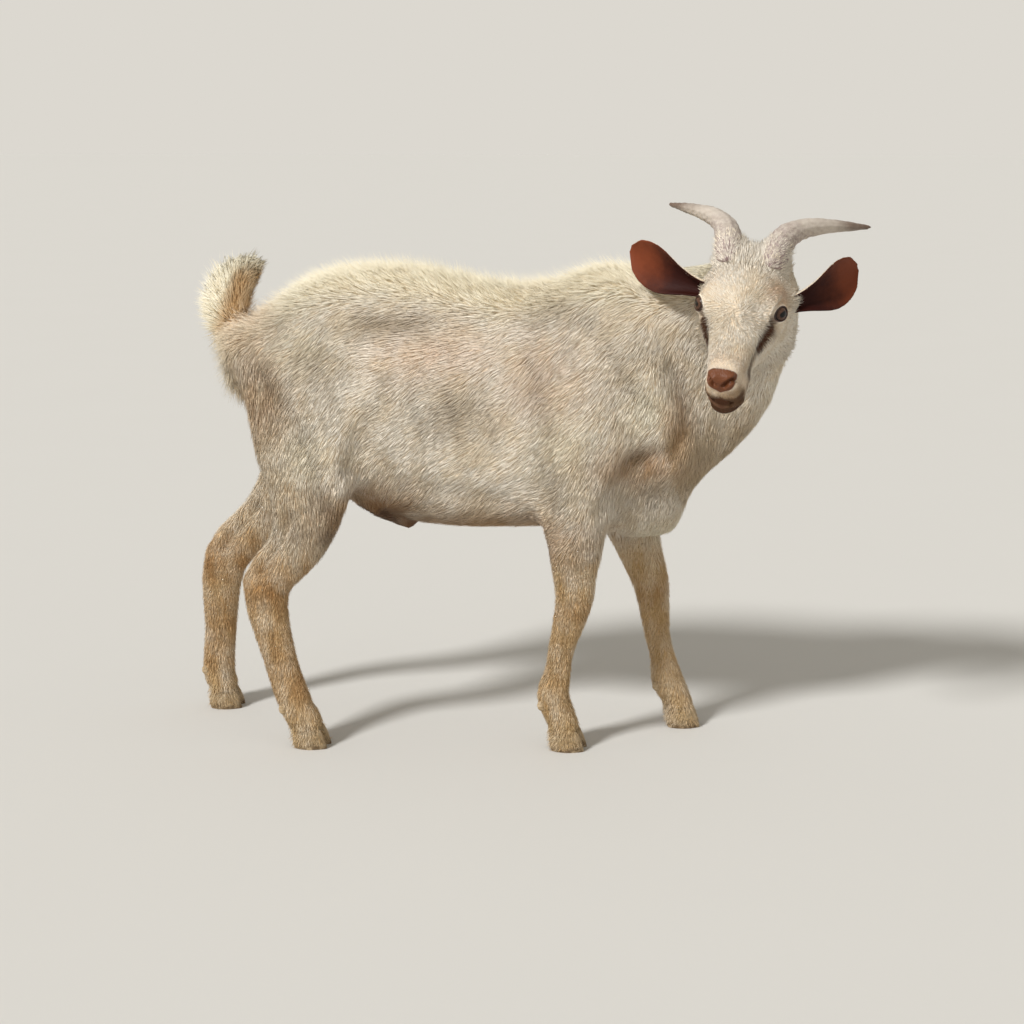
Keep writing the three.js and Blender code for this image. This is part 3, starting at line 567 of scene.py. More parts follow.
@dataclass
class Markings:
    """Works out every marking from a place, so that skin and coat agree; some blots and marks of the face are
    painted shade or painted highlight.
    """

    head: HeadFrame
    back: Back
    blots: dict[Mask, tuple[Blot, ...]] = field(default_factory=lambda: {
        Mask.GREY: (
            # Grey hair, but the loin blot at (0.42, 0.80) is partly painted shade in the hollow under the
            # loin.
            Blot(0.42, 0.80, 0.062, 0.015, 0.80), Blot(0.54, 0.50, 0.040, 0.030, 0.70),
            Blot(0.25, 0.66, 0.034, 0.022, 0.40), Blot(0.75, 0.84, 0.036, 0.016, 0.35),
            # The blot at (0.74, 0.20) is painted shade in the hollow behind the elbow.
            Blot(0.88, 0.66, 0.024, 0.050, 0.30), Blot(0.74, 0.20, 0.022, 0.050, 0.45),
            # The blot at (0.60, 0.06) is painted shade under the belly.
            Blot(0.40, 0.14, 0.060, 0.022, 0.75), Blot(0.60, 0.06, 0.130, 0.030, 0.55),
            Blot(0.93, 0.22, 0.045, 0.032, 0.45)),
        Mask.TAN: (Blot(0.08, 0.46, 0.060, 0.075, 0.50),),
        Mask.OCHRE: (
            # The blot at (0.36, 0.12) is painted shade in the groin.
            Blot(0.13, 0.56, 0.034, 0.050, 0.50), Blot(0.36, 0.12, 0.050, 0.032, 0.95),
            # The blot at (0.60, 0.04) under the belly is partly soiling, partly painted shade; the one at
            # (0.985, 0.46) is painted shade in the fold between the point of the shoulder and the neck.
            Blot(0.60, 0.04, 0.110, 0.030, 0.75), Blot(0.985, 0.46, 0.014, 0.050, 0.65),
            # The blot at (0.91, 0.32) is painted shade under the point of the shoulder.
            Blot(0.91, 0.32, 0.050, 0.022, 0.75)),
        # Painted shade in the groin.
        Mask.DARK: (Blot(0.36, 0.06, 0.055, 0.030, 0.80),),
        Mask.PINK: (
            Blot(0.07, 0.82, 0.040, 0.030, 0.60), Blot(0.50, 0.70, 0.080, 0.030, 0.45),
            Blot(0.72, 0.62, 0.050, 0.050, 0.40)),
        Mask.CREAM: (
            # The blot at (0.04, 0.46) is painted light on the buttock, and the one at (0.93, 0.52) a painted
            # highlight on the point of the shoulder.
            Blot(0.04, 0.46, 0.026, 0.060, 0.45), Blot(0.93, 0.52, 0.026, 0.030, 0.60),
            Blot(0.96, 0.04, 0.040, 0.018, 0.85), Blot(0.20, 0.72, 0.070, 0.030, 0.45),
            # The blot at (0.76, 0.40) is a painted highlight on the upper arm.
            Blot(0.22, 0.36, 0.030, 0.030, 0.50), Blot(0.76, 0.40, 0.036, 0.036, 0.55)),
    })
    tear_line: Path = (
        (8, 38, 4), (17, 34.5, 1), (24, 31.5, -2), (31, 29.5, -5), (37, 27.5, -9))
    tear_trail: Path = ((37, 28, -7), (52, 23.5, -10), (62, 21.5, -17), (67, 20.5, -28))
    mouth_line: Path = (
        (102, 0, -33), (99, 7, -32.5), (95, 12.5, -31.5), (88, 16.5, -31), (76, 19, -31.5), (64, 20.5, -32.5))
    nostril: Path = (
        (99.5, 3.2, -4), (98.3, 6.5, 0.5), (95, 11, 2.6), (91.5, 15, 1.5), (91, 16.5, -2))
    right_nostril_shift: Triple = (0, 3.5, 0)
    rim_line: Path = ((99.5, 0, -38.5), (97.5, 7, -37.5), (94, 12, -34.5), (90, 15.5, -32))
    pad_heights: tuple[float, ...] = (-14, -12, -9, -6, -2, 3, 7, 9.6, 12)
    pad_widths: tuple[float, ...] = (0, 3, 8, 12.5, 15, 15.8, 12.5, 9, 0)
    no_pad: float = -9.0
    pad_back: float = 85.0
    inner_lip: Triple = (98, 0, -29.5)
    inner_lip_size: Triple = (12, 11, 7.5)
    # The middle of the painted shade under the jaw.
    jowl: Triple = (80, 20, -46)
    temple: Triple = (-14, 41, 12)
    under_eye: Triple = (17, 36, -6)
    sheath_tip: Triple = (0.425, 0.50, 0.03)
    tail_core: Path = (
        (0.46, 0.5, 0.0), (0.55, 0.5, 0.20), (0.62, 0.5, 0.42), (0.72, 0.5, 0.62))
    hock_height: float = 0.185
    knee_height: float = 0.165
    edge_noise: Ripples = field(default_factory=lambda: Ripples(0.03, 3))
    fine_noise: Ripples = field(default_factory=lambda: Ripples(0.008, 4))

    def on_face(self, local: Array) -> dict[Mask, Array]:
        """The markings of the head, with painted shade in its nostrils and mouth, beside the mouth, under the
        jaw and on the left brow.

        Args:
            local: N places in the head's frame, in millimetres.

        Returns:
            A value for each place under each mask that the face uses.
        """
        near = folded(local)
        forward, up = near[:, 0], near[:, 2]
        tear = 1 - smooth(path_distance(near, self.tear_line), 2.5, 9.0)
        tear *= 0.75 + 0.25 * smooth(forward, 8, 20)
        trail = 1 - smooth(path_distance(near, self.tear_trail), 1.5, 6.5)
        mouth_gap = path_distance(near, self.mouth_line)
        # The dark of the nostrils and of the mouth slit is painted shade in those openings.
        nostril = 1 - smooth(self.nostril_gap(local), 1.6, 3.6)
        on_pad = smooth(self.on_pad(near), -0.8, 0.6)
        rim = 1 - smooth(path_distance(near, self.rim_line), 1.0, 2.2)
        mouth = (1 - smooth(mouth_gap, 1.4, 3.8)) * (1 - rim)
        lips = self.in_lips(near)
        front = smooth(forward, 60, 84)
        chin = smooth(up, -34, -36.5) * smooth(forward, 66, 84) * (1 - rim)
        philtrum = smooth(up, -14, -22) * smooth(forward, 80, 90)
        below_nose = smooth(up, -6, -17) * smooth(forward, 80, 92)
        below_nose = below_nose * (0.45 + 0.55 * smooth(local[:, 1], -6, 6)) * (1 - on_pad)
        # Painted shade under the jaw, between the chin and the beard.
        jowl = glow(near, self.jowl, 9)
        # Beside the mouth line: tan hair with painted shade.
        beside = (1 - smooth(mouth_gap, 3, 12)) * smooth(forward, 60, 70) * (1 - on_pad)
        # Heavier on the head's left: painted shade on that side of the brow, over its tan and pink.
        temple = glow(near, self.temple, 16) * (0.4 + 1.3 * smooth(local[:, 1], -5, 5))
        under_eye = glow(near, self.under_eye, 9)
        dark = np.maximum.reduce([
            tear, 0.70 * trail, mouth, nostril, 0.95 * chin, 0.45 * under_eye, 0.55 * beside,
            0.60 * lips * (1 - rim), 0.75 * jowl, 0.88 * philtrum, 0.40 * below_nose])
        tan = np.maximum.reduce([0.28 * temple, 0.6 * beside, 0.8 * philtrum, 0.6 * below_nose])
        return {
            Mask.DARK: np.clip(dark, 0, 1),
            Mask.NOSE: np.clip(np.maximum.reduce([on_pad, 0.9 * lips, 0.7 * rim]), 0, 1),
            Mask.TAN: np.clip(tan + 0.3 * under_eye + 0.4 * chin, 0, 1),
            Mask.PINK: np.clip(0.40 * temple + 0.20 * smooth(forward, 45, 75) + 0.6 * rim, 0, 1),
            Mask.GREY: 0.35 * smooth(-up, 42, 70) * (1 - front),
        }

    def nostril_gap(self, local: Array) -> Array:
        """How far each place is from a nostril, the right one of which sits further round."""
        near = folded(local) - (local[:, 1:2] < 0) * np.array(self.right_nostril_shift)
        return path_distance(near, self.nostril)

    def on_pad(self, near: Array) -> Array:
        """How far inside the edge of the bare nose places lie.

        Args:
            near: N places in the head's frame, folded over.

        Returns:
            N distances in millimetres, less than 0 outside.
        """
        outside = self.no_pad
        width = np.interp(near[:, 2], self.pad_heights, self.pad_widths, left=outside, right=outside)
        inside = np.minimum(width - near[:, 1], near[:, 0] - self.pad_back)
        return np.where(near[:, 0] > self.pad_back - 1, inside, outside)

    def in_lips(self, near: Array) -> Array:
        """1 on the bare inner lip that shows over the lower lip, 0 away from it."""
        gap = np.linalg.norm((near - self.inner_lip) / self.inner_lip_size, axis=1)
        return 1 - smooth(gap, 0.8, 1.1)

    def at(self, points: Array, node: Array) -> dict[Mask, Array]:
        """The markings at places on the goat.

        Args:
            points: N places in metres.
            node: the nearest flesh node of each.

        Returns:
            N values from 0 to 1 under each mask.
        """
        out = {mask: np.zeros(len(points)) for mask in Mask}

        def add(mask: Mask, values: Array) -> None:
            """Raises one marking to the given values where it is less."""
            out[mask] = np.maximum(out[mask], values)

        ragged = self.edge_noise.at(points)
        low, high = box_of("trunk")
        body = np.isin(node, ("trunk", "neck", *LEGS))
        for mask, blots in self.blots.items():
            for blot in blots:
                x = (points[:, 0] - low[0] - blot.along * (high - low)[0]) / blot.length
                z = (points[:, 2] - low[2] - blot.height * (high - low)[2]) / blot.depth
                reach = np.sqrt(x * x + z * z) + 0.28 * ragged
                add(mask, blot.strength * np.exp(-reach ** 2) * body)
        ridge = smooth(self.back.below(points), 0.050, 0.016) * np.isin(node, ("trunk", "neck"))
        seam = smooth(points[:, 0], low[0] + 0.06, low[0] + 0.02)
        seam = seam * smooth(np.abs(off_middle(points)), 0.04, 0.02)
        tail = (node == "tail").astype(float)
        golden = self.tail_front(points) * tail
        sheath = glow(points, spot("trunk", self.sheath_tip), 0.016)
        # The throat's tan and grey are partly its hair and partly painted shade under the neck.
        throat = smooth(points[:, 2], 0.42, 0.34) * (node == "neck")
        add(Mask.NOSE, 0.6 * sheath)
        add(Mask.OCHRE, np.maximum(0.8 * sheath, 0.42 * golden))
        add(Mask.CREAM, np.maximum.reduce([0.85 * ridge, 0.8 * tail, 0.8 * seam * body]))
        add(Mask.TAN, np.maximum(0.90 * golden, 0.55 * throat))
        add(Mask.GREY, 0.40 * throat)
        for mask, values in self.on_legs(points, node).items():
            add(mask, values)
        in_head = node == "head"
        face = self.on_face(self.head.local(points[in_head]))
        for mask, values in face.items():
            out[mask][in_head] = values
        for mask in (Mask.GREY, Mask.OCHRE, Mask.PINK, Mask.TAN):
            out[mask] = np.clip(out[mask] * (1 + 0.30 * ragged + 0.15 * self.fine_noise.at(points)), 0, 1)
        return out

    def tail_front(self, points: Array) -> Array:
        """1 on the short-haired front of the raised tail, 0 elsewhere."""
        core = [tuple(spot("tail", place) * (1, 0, 1)) for place in self.tail_core]
        return smooth(path_distance(points * (1, 0, 1), core), 0.021, 0.007)

    def on_legs(self, points: Array, node: Array) -> dict[Mask, Array]:
        """The tan of the legs and the stains on hocks, knees and the backs of the cannons.

        Args:
            points: N places in metres.
            node: the nearest flesh node of each.

        Returns:
            N values under each mask that the legs use, 0 away from them.
        """
        leg = np.isin(node, LEGS)
        hind = np.isin(node, LEGS[2:])
        height = points[:, 2]
        hock = np.exp(-((height - self.hock_height) / 0.030) ** 2) * hind
        cannon = smooth(height, 0.17, 0.12) * smooth(height, 0.035, 0.07) * (0.18 + 0.20 * hind)
        knee = np.exp(-((height - self.knee_height) / 0.02) ** 2) * 0.45
        patchy = 0.80 + 0.16 * self.edge_noise.at(points)
        stain = np.maximum.reduce([0.60 * hock, cannon, knee * ~hind]) * patchy
        tan = leg * (0.75 * smooth(height, 0.29, 0.17) + 0.08)
        return {Mask.TAN: np.maximum(tan, 0.35 * hind), Mask.OCHRE: leg * stain}


# ---- lie of the coat


@dataclass(frozen=True)
class Guide:
    """Which way the hair points near one place in a node's box."""

    place: Triple
    way: Triple


@dataclass
class Lie:
    """The way in which the coat lies everywhere."""

    head: HeadFrame
    whorl: Triple = (16, 0, 16)
    beard: Triple = (62, 17, -56)
    trunk: tuple[Guide, ...] = (
        Guide((0.97, 0.5, 1.0), (-1.0, 0, -0.05)),
        Guide((0.50, 0.5, 1.0), (-1.0, 0, -0.08)),
        Guide((0.20, 0.5, 0.95), (-1.0, 0, -0.30)),
        Guide((0.80, 0.5, 0.80), (-0.80, 0, -0.62)),
        Guide((0.45, 0.5, 0.78), (-0.95, 0, -0.25)),
        Guide((0.22, 0.5, 0.72), (-0.80, 0, -0.60)),
        Guide((0.92, 0.5, 0.55), (-0.42, 0, -0.90)),
        Guide((0.65, 0.5, 0.50), (-0.80, 0, -0.58)),
        Guide((0.42, 0.5, 0.45), (-0.82, 0, -0.52)),
        Guide((0.25, 0.5, 0.40), (-0.45, 0, -0.88)),
        Guide((0.10, 0.5, 0.55), (0.15, 0, -1.0)),
        Guide((0.03, 0.5, 0.75), (-0.35, 0, -0.9)),
        Guide((0.12, 0.5, 0.25), (-0.10, 0, -1.0)),
        Guide((0.34, 0.5, 0.20), (-0.25, 0, -0.95)),
        Guide((0.50, 0.5, 0.16), (-0.72, 0, -0.66)),
        Guide((0.42, 0.5, 0.02), (-0.95, 0, -0.10)),
        Guide((0.70, 0.5, 0.08), (-0.85, 0, -0.45)),
        Guide((0.95, 0.5, 0.20), (-0.30, 0, -0.95)),
        Guide((0.85, 0.5, 0.10), (-0.20, 0, -0.98)),
    )
    neck: tuple[Guide, ...] = (
        Guide((0.05, 0.5, 0.95), (-1.0, 0.0, -0.10)),
        Guide((0.55, 0.6, 0.95), (-0.75, 0.55, -0.20)),
        Guide((0.85, 0.25, 0.95), (-0.25, 0.90, -0.15)),
        Guide((0.50, 0.1, 0.50), (-0.50, 0.20, -0.85)),
        Guide((0.95, 0.4, 0.60), (-0.05, 0.60, -0.75)),
        Guide((0.60, 0.9, 0.50), (-0.45, 0.10, -0.90)),
        Guide((0.20, 0.5, 0.35), (-0.35, 0.00, -0.95)),
        Guide((0.50, 0.5, 0.15), (-0.15, 0.00, -1.0)),
    )
    tail: tuple[Guide, ...] = (
        Guide((0.30, 0.5, 0.00), (-0.80, 0, -0.35)),
        Guide((0.00, 0.5, 0.35), (-0.90, 0, 0.10)),
        Guide((0.10, 0.5, 0.80), (-0.60, 0, 0.75)),
        Guide((0.40, 0.5, 1.00), (0.20, 0, 0.95)),
        Guide((1.00, 0.5, 0.90), (0.85, 0, 0.10)),
        Guide((0.90, 0.5, 0.62), (0.80, 0, 0.20)),
        Guide((0.62, 0.5, 0.42), (0.15, 0, 0.95)),
        Guide((0.55, 0.5, 0.15), (0.05, 0, 0.98)),
    )
    hanging: Triple = (-0.12, 0.0, -1.0)
    beard_way: Triple = (-0.1, 0.65, -0.75)
    guide_reach: float = 0.05
    sway: Ripples = field(default_factory=lambda: Ripples(0.035, 21))
    curl: Ripples = field(default_factory=lambda: Ripples(0.012, 22))
    ruffle: Ripples = field(default_factory=lambda: Ripples(0.0035, 23))

    def guided(self, points: Array, node: str, guides: Sequence[Guide], flat: bool) -> Array:
        """Mixes the guides' directions by how near each is.

        Args:
            points: N places.
            node: the flesh node that they are on.
            guides: what to mix.
            flat: whether both sides of the body count as one place.

        Returns:
            N directions.
        """
        total = np.zeros_like(points)
        for guide in guides:
            gap = points - spot(node, guide.place)
            if flat:
                gap[:, 1] = 0
            weight = ((gap ** 2).sum(1) / self.guide_reach ** 2 + 0.12) ** -2.0
            total += weight[:, None] * unit(np.array(guide.way, float))
        return total

    def on_head(self, points: Array) -> Array:
        """The direction of the hair on the head: away from the whorl, and down and out at the beard.

        Args:
            points: N places on the head, in metres.

        Returns:
            N directions.
        """
        spread, gap = self.from_whorl(points)
        swirl = 1.25 * np.exp(-gap[:, None] / 9.0)
        ways = spread * np.cos(swirl) + np.cross(self.head.axes[2], spread) * np.sin(swirl)
        local = self.head.local(points)
        share = glow(folded(local), self.beard, 13)[:, None]
        back, out, down = self.beard_way
        forward, left, up = self.head.axes
        hanging = back * forward + out * np.sign(local[:, 1:2]) * left + down * up
        return unit(ways) * (1 - share) + hanging * share

    def from_whorl(self, points: Array) -> tuple[Array, Array]:
        """Each place's offset from the whorl, and how far that is and at least 2, in millimetres."""
        spread = (points - self.head.world(self.whorl)) / MM
        return spread, np.maximum(np.linalg.norm(spread, axis=1), 2.0)

    def at(self, points: Array, normals: Array, node: Array) -> Array:
        """The direction of the hair along the skin at each place.

        Args:
            points: N places in metres.
            normals: the skin's directions there.
            node: the nearest flesh node of each.

        Returns:
            N directions of length 1.
        """
        ways = np.tile(self.hanging, (len(points), 1))
        for name, guides in (("trunk", self.trunk), ("neck", self.neck), ("tail", self.tail)):
            here = node == name
            ways[here] = self.guided(points[here], name, guides, flat=name != "neck")
        head = node == "head"
        ways[head] = self.on_head(points[head])
        for name in EARS:
            ways[node == name] = unit(middle_of(name) - middle_of("head"))
        flat_ways = flattened(ways, normals)
        across = np.cross(normals, flat_ways)
        turn = 0.22 * self.sway.at(points) + 0.07 * self.curl.at(points)
        near_whorl = np.exp(-(self.from_whorl(points[head])[1] / 8) ** 2)
        turn[head] += 2.6 * self.ruffle.at(points[head]) * near_whorl
        return unit(flat_ways * np.cos(turn)[:, None] + across * np.sin(turn)[:, None])


# ---- skin


@dataclass(frozen=True)
class Stroke:
    """One stroke of shaping: a line whose surroundings are drawn out, or in where push is below 0.

    On the head the line is given in the head's frame, and elsewhere as fractions of a node's box.
    Radius and push are millimetres, and side is 1 for a stroke on the head's left only.
    """

    path: Path
    radius: float
    push: float
    side: int = 0


@dataclass(frozen=True)
class EyeForm:
    """The place, size and opening of one eye."""

    centre: Array
    outward: Array
    forward: Array
    above: Array
    radius: float
    half_length: float = 8.7
    upper: float = 7.7
    lower: float = 7.2
    lid: float = 1.3
    sunk: float = 2.6
    corner: float = 1.06

    @classmethod
    def of_side(cls, head: HeadFrame, label: str) -> "EyeForm":
        """The eye on one side, sized by its CAD node.

        Args:
            head: the head's frame.
            label: right or left.

        Returns:
            Its form.
        """
        side = SIDES[label]
        low, high = box_of(f"eye_{label}")
        outward = head.way((0.41, 0.83 * side, 0.43))
        forward = head.way((0.66, -0.49 * side, 0.10))
        forward = unit(forward - outward * (forward @ outward))
        above = np.cross(forward, outward) * side
        centre = middle_of(f"eye_{label}") + head.axes.T @ np.array((0, 1.4 * side, 0.8)) * MM
        return cls(centre, outward, forward, above, float(np.max(high - low)) / 2 / MM)

    def spread(self, points: Array) -> tuple[Array, Array, Array]:
        """Each place along, up and out from the eye's middle, in millimetres."""
        d = (points - self.centre) / MM
        return d @ self.forward, d @ self.above, d @ self.outward

    def opening(self, along: Array, up: Array) -> Array:
        """Where places lie against the edge of the lids.

        Args:
            along: the places, in millimetres forward from the eye's middle.
            up: the same upwards.

        Returns:
            1 on the edge, less inside it and more outside.
        """
        height = np.where(up > 0, self.upper, self.lower)
        corner = np.where(along > 0, self.corner, 1.0) * self.half_length
        return np.sqrt((along / corner) ** 2 + (up / height) ** 2)

    def margin(self, turn: float, lift: float) -> Array:
        """A place on the lids' edge.

        Args:
            turn: how far round, in radians.
            lift: how far above the eyeball, in millimetres.

        Returns:
            The place, in metres.
        """
        corner = self.half_length * (self.corner if math.cos(turn) > 0 else 1.0)
        along = corner * math.cos(turn)
        up = (self.upper if math.sin(turn) > 0 else self.lower) * math.sin(turn)
        reach = self.radius + lift
        out = math.sqrt(max(reach ** 2 - along ** 2 - up ** 2, (0.30 * reach) ** 2))
        way = along * self.forward + up * self.above + out * self.outward
        return self.centre + way / np.linalg.norm(way) * reach * MM


@dataclass
class Skin:
    """One seamless skin over all the flesh, the ears among it."""

    head: HeadFrame
    markings: Markings
    eyes: dict[str, EyeForm]
    voxel: float = 4.2 * MM
    swell: float = 0.4 * MM
    strokes: tuple[Stroke, ...] = (
        Stroke(((97, 8, 4.5), (92, 14, 5)), 5.0, 1.0),
        Stroke(((97, 9, -6), (92.5, 14.5, -6)), 4.0, 1.0),
        Stroke(((102, 0, -9), (102.5, 0, -22)), 1.5, -1.5),
        Stroke(
            ((84, 0, 11), (86, 10, 9.5), (87, 16, 5), (90, 17.5, -3), (95, 13, -9), (100, 5, -13)),
            1.5, -0.7),
        Stroke(((100, 5, -20), (95, 12, -21), (84, 18, -25)), 4.5, 1.3),
        Stroke(((99, 0, -31.5), (97, 7, -31)), 4.6, -3.6),
        Stroke(((99.5, 0, -38.5), (97.5, 7, -37.5), (94, 12, -34.5), (88, 16, -34)), 2.4, 1.5),
        Stroke(((97, 0, -48), (92, 8, -46)), 8.0, 3.2),
        Stroke(((89, 16, -37), (77, 20, -40), (63, 22, -43)), 9.0, 5.5, side=1),
        Stroke(((92, 15, -22), (80, 20, -25), (66, 22, -28)), 8.0, 2.0, side=1),
        Stroke(((20, 34, 2), (28, 31.5, -2), (36, 28.5, -6.5), (42, 26.5, -9)), 4.0, -1.6),
        Stroke(((-14, 38, 19), (-4, 40, 20), (8, 37, 17)), 4.5, 1.6),
        Stroke(((-8, 46, 10.5), (0, 43.5, 16), (9, 39, 14)), 1.5, -0.9),
        Stroke(((-6, 47, -8), (4, 45, -9), (13, 40.5, -6)), 1.5, -0.8),
        Stroke(((40, 10, 14), (20, 12, 18), (5, 14, 22)), 6.0, -0.7),
        Stroke(((30, 26, -30), (48, 22, -34), (60, 20.5, -33)), 6.0, -1.2),
    )
    furrows: tuple[Stroke, ...] = (
        Stroke(
            ((0.13, 0, 0.62), (0.185, 0, 0.50), (0.216, 0, 0.43), (0.248, 0, 0.27), (0.26, 0, 0.16)),
            16, -7.0),
        Stroke(((0.33, 0, 0.80), (0.42, 0, 0.785), (0.53, 0, 0.79), (0.58, 0, 0.80)), 13, -6.0),
        Stroke(((0.39, 0, 0.58), (0.34, 0, 0.42), (0.31, 0, 0.27)), 13, -7.0),
        Stroke(((0.67, 0, 0.84), (0.68, 0, 0.72), (0.69, 0, 0.60), (0.715, 0, 0.42)), 16, -5.5),
        Stroke(((0.70, 0, 0.34), (0.735, 0, 0.18)), 14, -4.5),
        Stroke(
            ((0.965, 0, 0.64), (0.995, 0, 0.52), (1.0, 0, 0.44), (0.975, 0, 0.355), (0.90, 0, 0.32)),
            14, -8.0),
        Stroke(((0.90, 0, 0.32), (0.862, 0, 0.246), (0.83, 0, 0.15)), 13, -5.5),
        Stroke(((0.39, 0, 0.30), (0.42, 0, 0.22), (0.53, 0, 0.20), (0.62, 0, 0.17)), 14, -3.8),
        Stroke(((0.80, 0, 0.80), (0.86, 0, 0.66), (0.93, 0, 0.50)), 12, -5.0),
        Stroke(((0.215, 0, 0.88), (0.23, 0, 0.84)), 14, 3.5),
        Stroke(((0.45, 0, 0.55), (0.47, 0, 0.35)), 7, -1.7),
        Stroke(((0.52, 0, 0.56), (0.545, 0, 0.34)), 7, -1.7),
        Stroke(((0.59, 0, 0.56), (0.62, 0, 0.34)), 7, -1.4),
        Stroke(((0.77, 0, 0.42), (0.74, 0, 0.32)), 20, 4.0),
        Stroke(((0.93, 0, 0.58), (0.94, 0, 0.48)), 22, 5.5),
        Stroke(((0.10, 0, 0.40), (0.14, 0, 0.28)), 24, 2.5),
    )
    leg_strokes: tuple[tuple[str, Stroke], ...] = (
        ("leg_hind_right", Stroke(((0.17, 0.16, 0.61), (0.30, 0.15, 0.70), (0.46, 0.05, 0.81)), 9, -8.5)),
        ("leg_hind_right", Stroke(((0.17, 0.80, 0.61), (0.30, 0.75, 0.70), (0.46, 0.70, 0.81)), 9, -6.0)),
        ("leg_hind_left", Stroke(((0.16, 0.43, 0.59), (0.27, 0.42, 0.68), (0.36, 0.39, 0.76)), 9, -8.5)),
        ("leg_hind_left", Stroke(((0.16, 0.95, 0.59), (0.27, 0.90, 0.68), (0.36, 0.85, 0.76)), 9, -6.0)),
        ("leg_hind_right", Stroke(((0.20, 0.15, 0.50), (0.30, 0.16, 0.32), (0.38, 0.15, 0.17)), 4, -1.5)),
        ("leg_hind_left", Stroke(((0.11, 0.45, 0.42), (0.08, 0.49, 0.22)), 4, -1.5)),
        ("leg_fore_right", Stroke(((0.48, 0.24, 0.58), (0.37, 0.34, 0.40), (0.32, 0.30, 0.25)), 4, -1.5)),
        ("leg_fore_left", Stroke(((0.59, 0.16, 0.82), (0.72, 0.29, 0.60), (0.68, 0.20, 0.40)), 4, -1.3)),
        ("leg_hind_right", Stroke(((0.0, 0.45, 0.60), (0.03, 0.45, 0.56)), 8, 5.5)),
        ("leg_hind_left", Stroke(((0.0, 0.45, 0.62), (0.03, 0.45, 0.58)), 8, 5.5)),
        ("leg_fore_right", Stroke(((1.0, 0.4, 0.62), (0.95, 0.4, 0.54)), 9, 1.5)),
    )
    mouth_cut: tuple[float, float] = (1.9, -4.8)
    nostril_cut: tuple[float, float] = (2.1, -5.5)
    face_middle: Triple = (10, 0, -20)
    skull_middle: Triple = (-10, 0, -20)
    horn_root: Triple = (-58, 24, 24)
    horn_way: Triple = (-0.95, 0.3, 0.15)
    horn_kept: float = 18.0
    sheath_reach: float = 0.026
    tree: BVHTree | None = None
    owner: list[str] = field(default_factory=list)

    def index_nodes(self) -> None:
        """Makes the search tree that says which flesh node is nearest to a place."""
        self.tree, _, self.owner = joined_nodes((*FLESH, *EARS))

    def nearest_nodes(self, points: Array) -> Array:
        """The name of the flesh node nearest to each place."""
        return np.array([self.owner[self.tree.find_nearest(point)[2]] for point in points])

    def horn_core(self, label: str) -> Piece:
        """The root end of a horn, which the skin runs over as it would over bone.

        Args:
            label: right or left.

        Returns:
            The closed piece.
        """
        core = solid_copy([f"horn_{label}"], f"horn_core_{label}")
        mirror = np.array((1, SIDES[label], 1))
        root = self.head.world(self.horn_root * mirror)
        way = self.head.way(self.horn_way * mirror)
        end = root + way * self.horn_kept * MM
        edit(bpy.ops.mesh.bisect, plane_co=end, plane_no=way, use_fill=True, clear_outer=True)
        return core

    def rough_body(self) -> Piece:
        """Joins the flesh, hoof, eye and horn root solids into one closed mesh of even faces.

        Returns:
            The mesh's object.
        """
        hard = [*(f"eye_{label}" for label in SIDES), *claw_nodes()]
        parts = [self.horn_core(label) for label in SIDES]
        parts.append(solid_copy([*FLESH, *hard], "skin"))
        bpy.ops.object.select_all(action="DESELECT")
        for part in parts:
            part.select_set(True)
        bpy.context.view_layer.objects.active = parts[-1]
        bpy.ops.object.join()
        skin = parts[-1]
        skin.name = "skin"
        place_points(skin.data, points_of(skin.data) + normals_of(skin.data) * self.swell)
        apply_modifier(skin, "REMESH", mode="VOXEL", voxel_size=self.voxel)
        return skin

    def depth_at(self, points: Array, node: Array) -> Array:
        """How thick the coat is, and so how far the skin lies inside the solids.

        Args:
            points: N places in metres.
            node: the nearest flesh node of each.

        Returns:
            N depths, in metres.
        """
        local = self.head.local(points)
        depth = np.full(len(points), 4.5)
        ridge = smooth(self.markings.back.below(points), 0.045, 0.008) * np.isin(node, ("trunk", "neck"))
        depth += 4.0 * ridge
        depth = np.where(node == "tail", 9.5 - 6.0 * self.markings.tail_front(points), depth)
        leg = smooth(points[:, 2], 0.30, 0.22)
        depth = depth * (1 - leg) + 1.8 * leg
        depth = np.where(self.at_sheath(points), 1.4, depth)
        near_head = 1 - smooth(distance_to(local, self.skull_middle), 75, 115)
        near_head = np.maximum(near_head, (node == "head") * 1.0)
        bare = smooth(local[:, 0], 30, 85)
        return (depth * (1 - near_head) + (1.5 - 1.1 * bare) * near_head) * MM

    def at_sheath(self, points: Array) -> Array:
        """Whether places are on the sheath under the belly."""
        return distance_to(points, spot("trunk", self.markings.sheath_tip)) < self.sheath_reach

    def set_inside(self, skin: Piece) -> None:
        """Smooths the body and draws it in by the depth of the coat, and well inside hooves and horns.

        Args:
            skin: the rough body.
        """
        mesh = skin.data
        points = points_of(mesh)
        node = self.nearest_nodes(points)
        share = np.where(node == "head", 0.18, 0.95)
        share = np.where(np.isin(node, LEGS), 0.38, share)
        share = np.where(node == "tail", 0.3, share)
        share = np.where(self.at_sheath(points), 0.25, share)
        points = relaxed(points, edges_of(mesh), share, 26)
        place_points(mesh, points)
        depth = self.depth_at(points, node)
        for names, inside, fade in ((claw_nodes(), 3.4, 2.6), (HORNS, 3.2, 2.8)):
            gap = gaps_to_nodes(names, points, 3 * MM)
            depth = np.maximum(depth, inside * MM * (1 - smooth(gap, 1.2 * MM, fade * MM)))
        place_points(mesh, points - normals_of(mesh) * depth[:, None])

